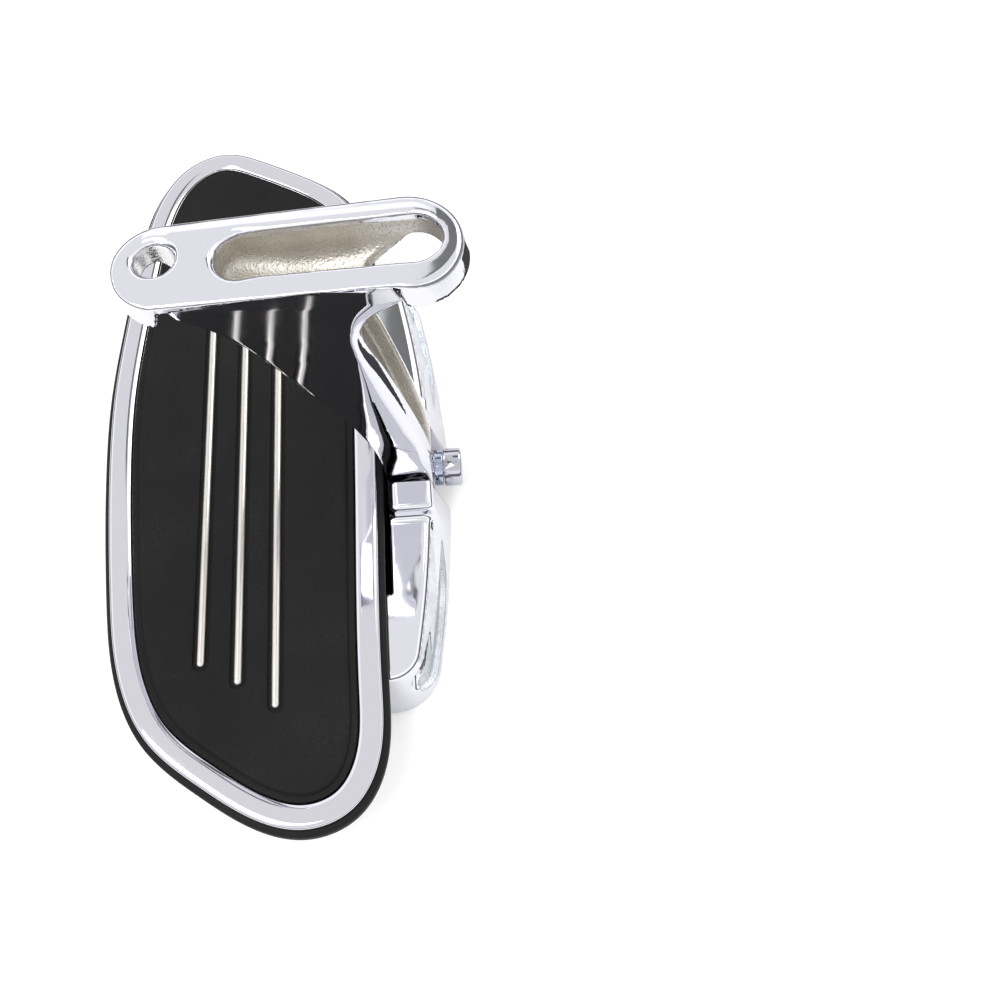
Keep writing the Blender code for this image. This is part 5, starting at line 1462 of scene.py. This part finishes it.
class Effects:
    """The effects that several finishes share, each a node group built once."""

    def __init__(self) -> None:
        """Builds the grain, handling and dust groups."""
        self.grain = self.build_grain()
        self.handling = self.build_handling()
        self.dust = self.build_dust()

    def build_grain(self) -> bpy.types.NodeTree:
        """Grain: fine noise and small pits.

        Returns:
            The group, which puts out a height and a mask of the pits.
        """
        inputs = {"Vector": "vector", "Scale": 800.0, "Pits": 0.3}
        tree, graph, start, end = new_group("grain", inputs, ("Height", "Pit Mask"))
        place = {"Vector": start.outputs["Vector"], "Scale": start.outputs["Scale"]}
        noise = graph.node("TexNoise", **place, Detail=4.0)
        cells = graph.node("TexVoronoi", **place)
        pit = graph.spread(cells.outputs["Distance"], 0.05, 0.45, 1.0, 0.0)
        depth = graph.math("MULTIPLY", pit, start.outputs["Pits"])
        graph.feed(end, "Height", graph.math("SUBTRACT", noise.outputs["Fac"], depth))
        graph.feed(end, "Pit Mask", pit)
        return tree

    def build_handling(self) -> bpy.types.NodeTree:
        """Handling: broad smears and fine hairlines.

        Returns:
            The group, which puts out a change of roughness and a mask of the smears.
        """
        inputs = {"Vector": "vector", "Amount": 0.03}
        tree, graph, start, end = new_group("handling", inputs, ("Roughness", "Smear"))
        place = start.outputs["Vector"]
        broad = graph.node("TexNoise", Vector=place, Scale=38.0, Detail=5.0, Distortion=0.6)
        fine = graph.node("TexNoise", Vector=place, Scale=420.0, Detail=3.0)
        smear = graph.spread(broad.outputs["Fac"], 0.42, 0.68)
        total = graph.math("ADD", smear, graph.spread(fine.outputs["Fac"], 0.5, 0.75, 0.0, 0.5))
        graph.feed(end, "Roughness", graph.math("MULTIPLY", total, start.outputs["Amount"]))
        graph.feed(end, "Smear", smear)
        return tree

    def build_dust(self) -> bpy.types.NodeTree:
        """Dust: soft patches broken up by fine noise.

        Returns:
            The group, which puts out a mask of the dust.
        """
        inputs = {"Vector": "vector", "Scale": 60.0, "Amount": 0.1}
        tree, graph, start, end = new_group("dust", inputs, ("Mask",))
        place = start.outputs["Vector"]
        broad = graph.node("TexNoise", Vector=place, Scale=start.outputs["Scale"], Detail=6.0)
        fine = graph.node("TexNoise", Vector=place, Scale=1500.0, Detail=2.0)
        patch = graph.spread(broad.outputs["Fac"], 0.4, 0.75)
        speck = graph.spread(fine.outputs["Fac"], 0.45, 0.7)
        spots = graph.math("MULTIPLY", patch, speck)
        graph.feed(end, "Mask", graph.math("MULTIPLY", spots, start.outputs["Amount"], True))
        return tree

    @staticmethod
    def place(graph: Graph, group: bpy.types.NodeTree, **sockets: object) -> bpy.types.Node:
        """Puts a group into a material.

        Args:
            graph: the material's graph.
            group: the group.
            **sockets: the group's values by name, with spaces as underscores.

        Returns:
            The group's node.
        """
        made = graph.tree.nodes.new("ShaderNodeGroup")
        made.node_tree = group
        for key, value in sockets.items():
            graph.feed(made, key.replace("_", " "), value)
        return made


@dataclass(frozen=True)
class Finish:
    """A finish: its name, colour and roughness, and the effects it draws on."""

    name: str
    colour: tuple[float, float, float]
    roughness: float
    effects: Effects = field(repr=False, compare=False)

    def material(self) -> bpy.types.Material:
        """Makes the finish's material at its first use.

        Returns:
            The material.
        """
        name = f"finish_{self.name}"
        found = bpy.data.materials.get(name)
        if found:
            return found
        made = bpy.data.materials.new(name)
        made.use_nodes = True
        graph = Graph(made.node_tree)
        shader = made.node_tree.nodes["Principled BSDF"]
        place = graph.node("TexCoord").outputs["Object"]
        self.wire(graph, shader, place)
        return made

    def wire(self, graph: Graph, shader: bpy.types.Node, place: bpy.types.NodeSocket) -> None:
        """Joins the finish's nodes to its shader."""
        raise NotImplementedError

    def dress(self, obj: bpy.types.Object) -> None:
        """Gives a piece this finish alone."""
        obj.data.materials.clear()
        obj.data.materials.append(self.material())


@dataclass(frozen=True)
class BrightPlate(Finish):
    """Chrome plate on polished metal, with raw casting and painted dark reflection where the piece's
    attributes say so.
    """

    raw_colour: tuple[float, float, float] = (0.60, 0.57, 0.515)
    raw_edge: tuple[float, float, float] = (0.70, 0.675, 0.625)
    pit_colour: tuple[float, float, float] = (0.30, 0.28, 0.25)
    # Painted reflection: the black of the rubber band that the groove's chrome would mirror, painted into the
    # colour.
    painted_dark_reflection: tuple[float, float, float] = (0.012, 0.012, 0.013)
    cast_roughness: float = 0.44
    ripple: float = 0.010

    def wire(self, graph: Graph, shader: bpy.types.Node, place: bpy.types.NodeSocket) -> None:
        """Mirror plate with faint smears and ripple; in the raw places a rough sparkling cast skin.

        Args:
            graph: the material's graph.
            shader: its shader.
            place: the socket of Object coordinates.
        """
        raw = graph.node("Attribute", {"attribute_name": "raw"}).outputs["Fac"]
        marks = Effects.place(graph, self.effects.handling, Vector=place, Amount=0.035)
        skin = Effects.place(graph, self.effects.grain, Vector=place, Scale=900.0, Pits=0.5)
        tone = graph.node("TexNoise", Vector=place, Scale=55.0, Detail=3.0)
        drift = graph.spread(tone.outputs["Fac"], 0.40, 0.62)
        nickel = graph.mix(drift, shade(self.raw_colour, 1.0), shade(self.raw_edge, 1.0))
        nickel = graph.mix(graph.scaled(skin.outputs["Pit Mask"], 0.35), nickel, shade(self.pit_colour, 1.0))
        # Painted reflection: where the black attribute is 1 the colour goes to black, standing in for the
        # mirrored rubber band.
        black = graph.node("Attribute", {"attribute_name": "black"}).outputs["Fac"]
        metal = graph.mix(raw, shade(self.colour, 1.0), nickel)
        graph.feed(shader, "Base Color", graph.mix(black, metal, shade(self.painted_dark_reflection, 1.0)))
        shader.inputs["Metallic"].default_value = 1.0
        polished = graph.math("ADD", marks.outputs["Roughness"], self.roughness)
        cast = graph.math("ADD", graph.scaled(skin.outputs["Pit Mask"], 0.12), self.cast_roughness)
        graph.feed(shader, "Roughness", graph.blend(raw, polished, cast))
        wave = graph.node("TexNoise", Vector=place, Scale=34.0, Detail=1.0).outputs["Fac"]
        height = graph.blend(raw, graph.scaled(wave, self.ripple), skin.outputs["Height"])
        graph.relief(shader, height, 0.7, 0.00035)


@dataclass(frozen=True)
class MouldedRubber(Finish):
    """Matte moulded rubber with a fine grain and a trace of dust."""

    grain_scale: float = 1100.0
    grain_depth: float = 0.00012
    dust: float = 0.10
    dust_colour: tuple[float, float, float] = (0.20, 0.19, 0.18)

    def wire(self, graph: Graph, shader: bpy.types.Node, place: bpy.types.NodeSocket) -> None:
        """Dark base with soft colour drift, grain bump, pits darkened to half the colour, and a trace of
        dust.

        Args:
            graph: the material's graph.
            shader: its shader.
            place: the socket of Object coordinates.
        """
        grain = Effects.place(graph, self.effects.grain, Vector=place, Scale=self.grain_scale, Pits=0.45)
        dust = Effects.place(graph, self.effects.dust, Vector=place, Scale=45.0, Amount=self.dust)
        drift = graph.node("TexNoise", Vector=place, Scale=16.0, Detail=3.0).outputs["Fac"]
        base = graph.mix(graph.spread(drift, 0.35, 0.65), shade(self.colour, 0.9), shade(self.colour, 1.12))
        base = graph.mix(graph.scaled(grain.outputs["Pit Mask"], 0.25), base, shade(self.colour, 0.5))
        base = graph.mix(dust.outputs["Mask"], base, shade(self.dust_colour, 1.0))
        graph.feed(shader, "Base Color", base)
        rough = graph.math("ADD", graph.scaled(grain.outputs["Height"], 0.12), self.roughness)
        graph.feed(shader, "Roughness", rough)
        shader.inputs["Specular IOR Level"].default_value = 0.11
        graph.relief(shader, grain.outputs["Height"], 0.6, self.grain_depth)


@dataclass(frozen=True)
class BrushedBar(Finish):
    """Stainless bar brushed along its length."""

    def wire(self, graph: Graph, shader: bpy.types.Node, place: bpy.types.NodeSocket) -> None:
        """Hairlines stretched along Y in colour, roughness and bump, over faint smears.

        Args:
            graph: the material's graph.
            shader: its shader.
            place: the socket of Object coordinates.
        """
        stretched = graph.node("Mapping", Vector=place, Scale=(1.0, 0.02, 1.0)).outputs["Vector"]
        hair = graph.node("TexNoise", Vector=stretched, Scale=4200.0, Detail=3.0).outputs["Fac"]
        marks = Effects.place(graph, self.effects.handling, Vector=place, Amount=0.06)
        base = graph.mix(graph.spread(hair, 0.35, 0.65), shade(self.colour, 0.88), shade(self.colour, 1.0))
        graph.feed(shader, "Base Color", base)
        shader.inputs["Metallic"].default_value = 1.0
        rough = graph.math("ADD", graph.scaled(hair, 0.14), self.roughness)
        graph.feed(shader, "Roughness", graph.math("ADD", rough, marks.outputs["Roughness"]))
        graph.relief(shader, hair, 0.35, 0.00005)


@dataclass(frozen=True)
class PlatedSteel(Finish):
    """Zinc-plated or ground steel of the fasteners."""

    spangle: float = 240.0
    dust_colour: tuple[float, float, float] = (0.34, 0.32, 0.29)

    def wire(self, graph: Graph, shader: bpy.types.Node, place: bpy.types.NodeSocket) -> None:
        """Mottled plate with fine turning marks, smears and a little dust.

        Args:
            graph: the material's graph.
            shader: its shader.
            place: the socket of Object coordinates.
        """
        cells = graph.node("TexVoronoi", Vector=place, Scale=self.spangle)
        marks = Effects.place(graph, self.effects.handling, Vector=place, Amount=0.12)
        dust = Effects.place(graph, self.effects.dust, Vector=place, Scale=90.0, Amount=0.12)
        grain = Effects.place(graph, self.effects.grain, Vector=place, Scale=1600.0, Pits=0.15)
        tone = graph.spread(cells.outputs["Distance"], 0.0, 0.8)
        base = graph.mix(tone, shade(self.colour, 0.86, 0.87, 0.90), shade(self.colour, 1.08, 1.07, 1.05))
        base = graph.mix(dust.outputs["Mask"], base, shade(self.dust_colour, 1.0))
        graph.feed(shader, "Base Color", base)
        shader.inputs["Metallic"].default_value = 1.0
        graph.feed(shader, "Roughness", graph.math("ADD", marks.outputs["Roughness"], self.roughness))
        graph.relief(shader, grain.outputs["Height"], 0.25, 0.00005)


# The studio

@dataclass
class Studio:
    """A white studio: world, two soft lamps, a pale floor, two cards, and the camera of the photograph.

    The horizon is rows of a height, 0 at the bottom of the world and 1 at its top, and a tone.
    """

    camera_at: tuple[float, float, float] = (86.1, -246.4, 448.1)
    camera_to: tuple[float, float, float] = (102.67, -35.0, 32.0)
    lens: float = 42.1
    world_light: float = 0.85
    horizon: tuple = ((0.50, 0.26), (0.58, 0.17), (0.63, 0.38), (0.67, 1.35), (0.78, 1.35), (0.82, 1.0))
    floor_reach: float = 1600.0
    floor_drop: float = 0.4
    paper: tuple[float, ...] = (0.86, 0.86, 0.86, 1.0)
    far_paper: tuple[float, ...] = (0.26, 0.26, 0.27, 1.0)
    far_ring: tuple[float, float] = (0.32, 0.50)
    glow: float = 0.30
    mirror_glow: float = 0.20
    flag_height: float = 32.0
    flag_corners: tuple = (
        (150, -120), (185, -150), (225, -110), (245, 0), (235, 110), (195, 140), (155, 100))
    card_height: float = 1200.0
    card_corners: tuple = ((-20, 660), (-20, 1100), (340, 1100), (340, 660))

    def build_world(self) -> None:
        """White for the camera and in mirrors, with a soft grey horizon in mirrors, and an even light."""
        world = bpy.data.worlds.new("studio")
        bpy.context.scene.world = world
        world.use_nodes = True
        graph = Graph(world.node_tree)
        backdrop = world.node_tree.nodes["Background"]
        path = graph.node("LightPath")
        direction = graph.node("TexCoord").outputs["Generated"]
        height = graph.node("SeparateXYZ", Vector=direction).outputs["Z"]
        tones = graph.node("ValToRGB", Fac=graph.spread(height, -1.0, 1.0))
        stops = tones.color_ramp.elements
        stops[0].position, stops[0].color = 0.0, (0.9, 0.9, 0.9, 1)
        stops[1].position, stops[1].color = 1.0, (1.0, 1.0, 1.0, 1)
        for place, tone in self.horizon:
            stop = stops.new(place)
            stop.color = (tone, tone, tone * 1.02, 1)
        mirror = graph.math("MAXIMUM", path.outputs["Is Glossy Ray"], path.outputs["Is Transmission Ray"])
        seen = graph.mix(mirror, (*[self.world_light] * 3, 1.0), tones.outputs["Color"])
        graph.feed(backdrop, "Color", graph.mix(path.outputs["Is Camera Ray"], seen, (1.0, 1.0, 1.0, 1.0)))

    def build_lamps(self) -> None:
        """A broad lamp over the tread and a narrower one from the far side."""
        lamps = (("key_lamp", (-0.55, -0.35, 1.25), 0.9, 9.0), ("rim_lamp", (0.75, 0.75, 0.85), 0.6, 3.5))
        for name, place, size, power in lamps:
            data = bpy.data.lights.new(name, "AREA")
            data.size = size
            data.energy = power
            lamp = bpy.data.objects.new(name, data)
            lamp.location = place
            lamp.rotation_euler = (Vector((0, 0, 0.03)) - Vector(place)).to_track_quat("-Z", "Y").to_euler()
            bpy.context.scene.collection.objects.link(lamp)

    def build_floor(self) -> None:
        """A pale floor that keeps the object's shadow.

        It shows white to the camera. In mirrors it is white near the object and grey from the far ring on.
        """
        reach, height = self.floor_reach, -self.floor_drop
        corners = [(-reach, -reach, height), (reach, -reach, height), (reach, reach, height),
                   (-reach, reach, height)]
        floor = plain_object("studio_floor", corners, [(0, 1, 2, 3)])
        paper = bpy.data.materials.new("floor_paper")
        paper.use_nodes = True
        graph = Graph(paper.node_tree)
        shader = paper.node_tree.nodes["Principled BSDF"]
        shader.inputs["Roughness"].default_value = 0.9
        shader.inputs["Specular IOR Level"].default_value = 0.0
        path = graph.node("LightPath")
        in_mirror = path.outputs["Is Glossy Ray"]
        seen = graph.math("MAXIMUM", path.outputs["Is Camera Ray"], in_mirror)
        seen = graph.math("MAXIMUM", seen, path.outputs["Is Transmission Ray"])
        away = graph.node("VectorMath", {"operation": "LENGTH"})
        graph.feed(away, 0, graph.node("TexCoord").outputs["Object"])
        far = graph.math("MULTIPLY", graph.spread(away.outputs["Value"], *self.far_ring), in_mirror)
        graph.feed(shader, "Base Color", graph.mix(far, self.paper, self.far_paper))
        less = graph.scaled(in_mirror, self.glow - self.mirror_glow)
        strength = graph.math("SUBTRACT", graph.scaled(seen, self.glow), less)
        tint = graph.mix(far, (1.0, 1.0, 1.0, 1.0), (0.3, 0.3, 0.3, 1.0))
        both = graph.node("AddShader")
        graph.feed(both, 0, shader.outputs[0])
        graph.feed(both, 1, graph.node("Emission", Color=tint, Strength=strength).outputs[0])
        graph.feed(paper.node_tree.nodes["Material Output"], "Surface", both.outputs[0])
        floor.data.materials.append(paper)

    def build_card(
        self, name: str, outline: np.ndarray, height: float, colour: tuple[float, ...], roughness: float
    ) -> None:
        """A level card that only mirrors see.

        Args:
            name: its name.
            outline: its corners in X and Y, in millimetres.
            height: its height in millimetres.
            colour: its colour.
            roughness: its roughness.
        """
        corners = np.column_stack([outline, np.full(len(outline), height)])
        card = plain_object(name, corners, [tuple(range(len(corners)))])
        paper = bpy.data.materials.new(f"{name}_paper")
        paper.use_nodes = True
        shader = paper.node_tree.nodes["Principled BSDF"]
        shader.inputs["Base Color"].default_value = colour
        shader.inputs["Roughness"].default_value = roughness
        card.data.materials.append(paper)
        card.visible_camera = card.visible_diffuse = card.visible_shadow = card.visible_transmission = False

    def build_cards(self) -> None:
        """A black card to the right, for the dark bands in the chrome, and a grey one high above it."""
        flag = closed_spline(self.flag_corners, 8)
        self.build_card("studio_flag", flag, self.flag_height, (0.02, 0.02, 0.022, 1.0), 0.8)
        card = np.array(self.card_corners, float)
        self.build_card("studio_grey_card", card, self.card_height, (0.22, 0.23, 0.22, 1.0), 0.9)

    def build_camera(self) -> None:
        """The camera at the photograph's place and angle."""
        data = bpy.data.cameras.new("camera")
        data.lens = self.lens
        data.sensor_width = 36.0
        data.clip_start = 0.01
        camera = bpy.data.objects.new("camera", data)
        camera.location = Vector(self.camera_at) * MM
        aim = (Vector(self.camera_to) - Vector(self.camera_at)).to_track_quat("-Z", "Y")
        camera.rotation_euler = aim.to_euler()
        bpy.context.scene.collection.objects.link(camera)
        bpy.context.scene.camera = camera
        bpy.context.scene.view_settings.view_transform = "Standard"


def dress_plate(nodes: dict[str, bpy.types.Object], finish: Finish) -> None:
    """Gives the carried-over backing plate its plated steel.

    Args:
        nodes: the frame's nodes by name.
        finish: the plated steel.
    """
    plate = nodes["backing_plate"]
    if not plate.material_slots:
        plate.data.materials.append(finish.material())
    for place in plate.material_slots:
        place.material = finish.material()


def main() -> None:
    logging.basicConfig(level=logging.INFO, format="%(name)s %(message)s")
    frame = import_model()
    effects = Effects()
    casting_chrome = BrightPlate("casting_chrome", (0.74, 0.74, 0.79), 0.045, effects)
    bracket_chrome = BrightPlate(
        "bracket_chrome", (0.74, 0.74, 0.79), 0.045, effects, (0.60, 0.63, 0.67), (0.76, 0.79, 0.83))
    ring_chrome = BrightPlate("rolled_chrome", (0.66, 0.655, 0.70), 0.05, effects, ripple=0.004)
    plug_chrome = BrightPlate("plug_chrome", (0.52, 0.52, 0.57), 0.035, effects, ripple=0.004)
    collar_chrome = BrightPlate("collar_chrome", (0.40, 0.44, 0.54), 0.05, effects, ripple=0.004)
    tread_rubber = MouldedRubber("tread_rubber", (0.0125, 0.0125, 0.013), 0.62, effects, dust=0.06)
    band_rubber = MouldedRubber(
        "band_rubber", (0.014, 0.014, 0.015), 0.50, effects, grain_scale=1600.0, dust=0.05)
    strip_steel = BrushedBar("strip_steel", (0.74, 0.71, 0.66), 0.24, effects)
    zinc_steel = PlatedSteel("zinc_steel", (0.60, 0.61, 0.63), 0.32, effects)
    pin_steel = PlatedSteel("pin_steel", (0.56, 0.56, 0.57), 0.22, effects, spangle=500.0)

    outline = closed_spline(OUTLINE_POINTS, 14)
    board = Board(outline)
    board.build_band(band_rubber)
    board.build_ring(ring_chrome)
    board.build_tread(tread_rubber)
    board.build_strips(strip_steel)
    dress_plate(frame["nodes"], zinc_steel)

    coarse = 1.0
    pan = BasePan("pan_casting", "base_pan", Body.BOARD, (-54, -160, -2.5), (53, 160, 26.5), 1.25 * coarse,
                  outline=closed_spline(OUTLINE_POINTS, 6))
    pan.build("cast_chrome", casting_chrome)
    bracket = PivotBracket(
        "bracket_casting", "pivot_bracket", Body.BOARD, (34, -113, -2.5), (86, 98, 31), 0.75 * coarse)
    bracket.build("cast_chrome", bracket_chrome)
    arm = MountArm("arm_casting", "mount_arm", Body.ARM, (-21, -30, 0), (97, 15, 164), 0.75 * coarse)
    arm.build("cast_chrome", casting_chrome)

    fasteners = Fasteners()
    fasteners.build_pad_nuts(zinc_steel)
    fasteners.build_foot_screws(zinc_steel)
    fasteners.build_pin(pin_steel)
    DragPlunger().build(plug_chrome, collar_chrome, pin_steel)

    studio = Studio()
    studio.build_world()
    studio.build_lamps()
    studio.build_floor()
    studio.build_cards()
    studio.build_camera()


if __name__ == "__main__":
    main()
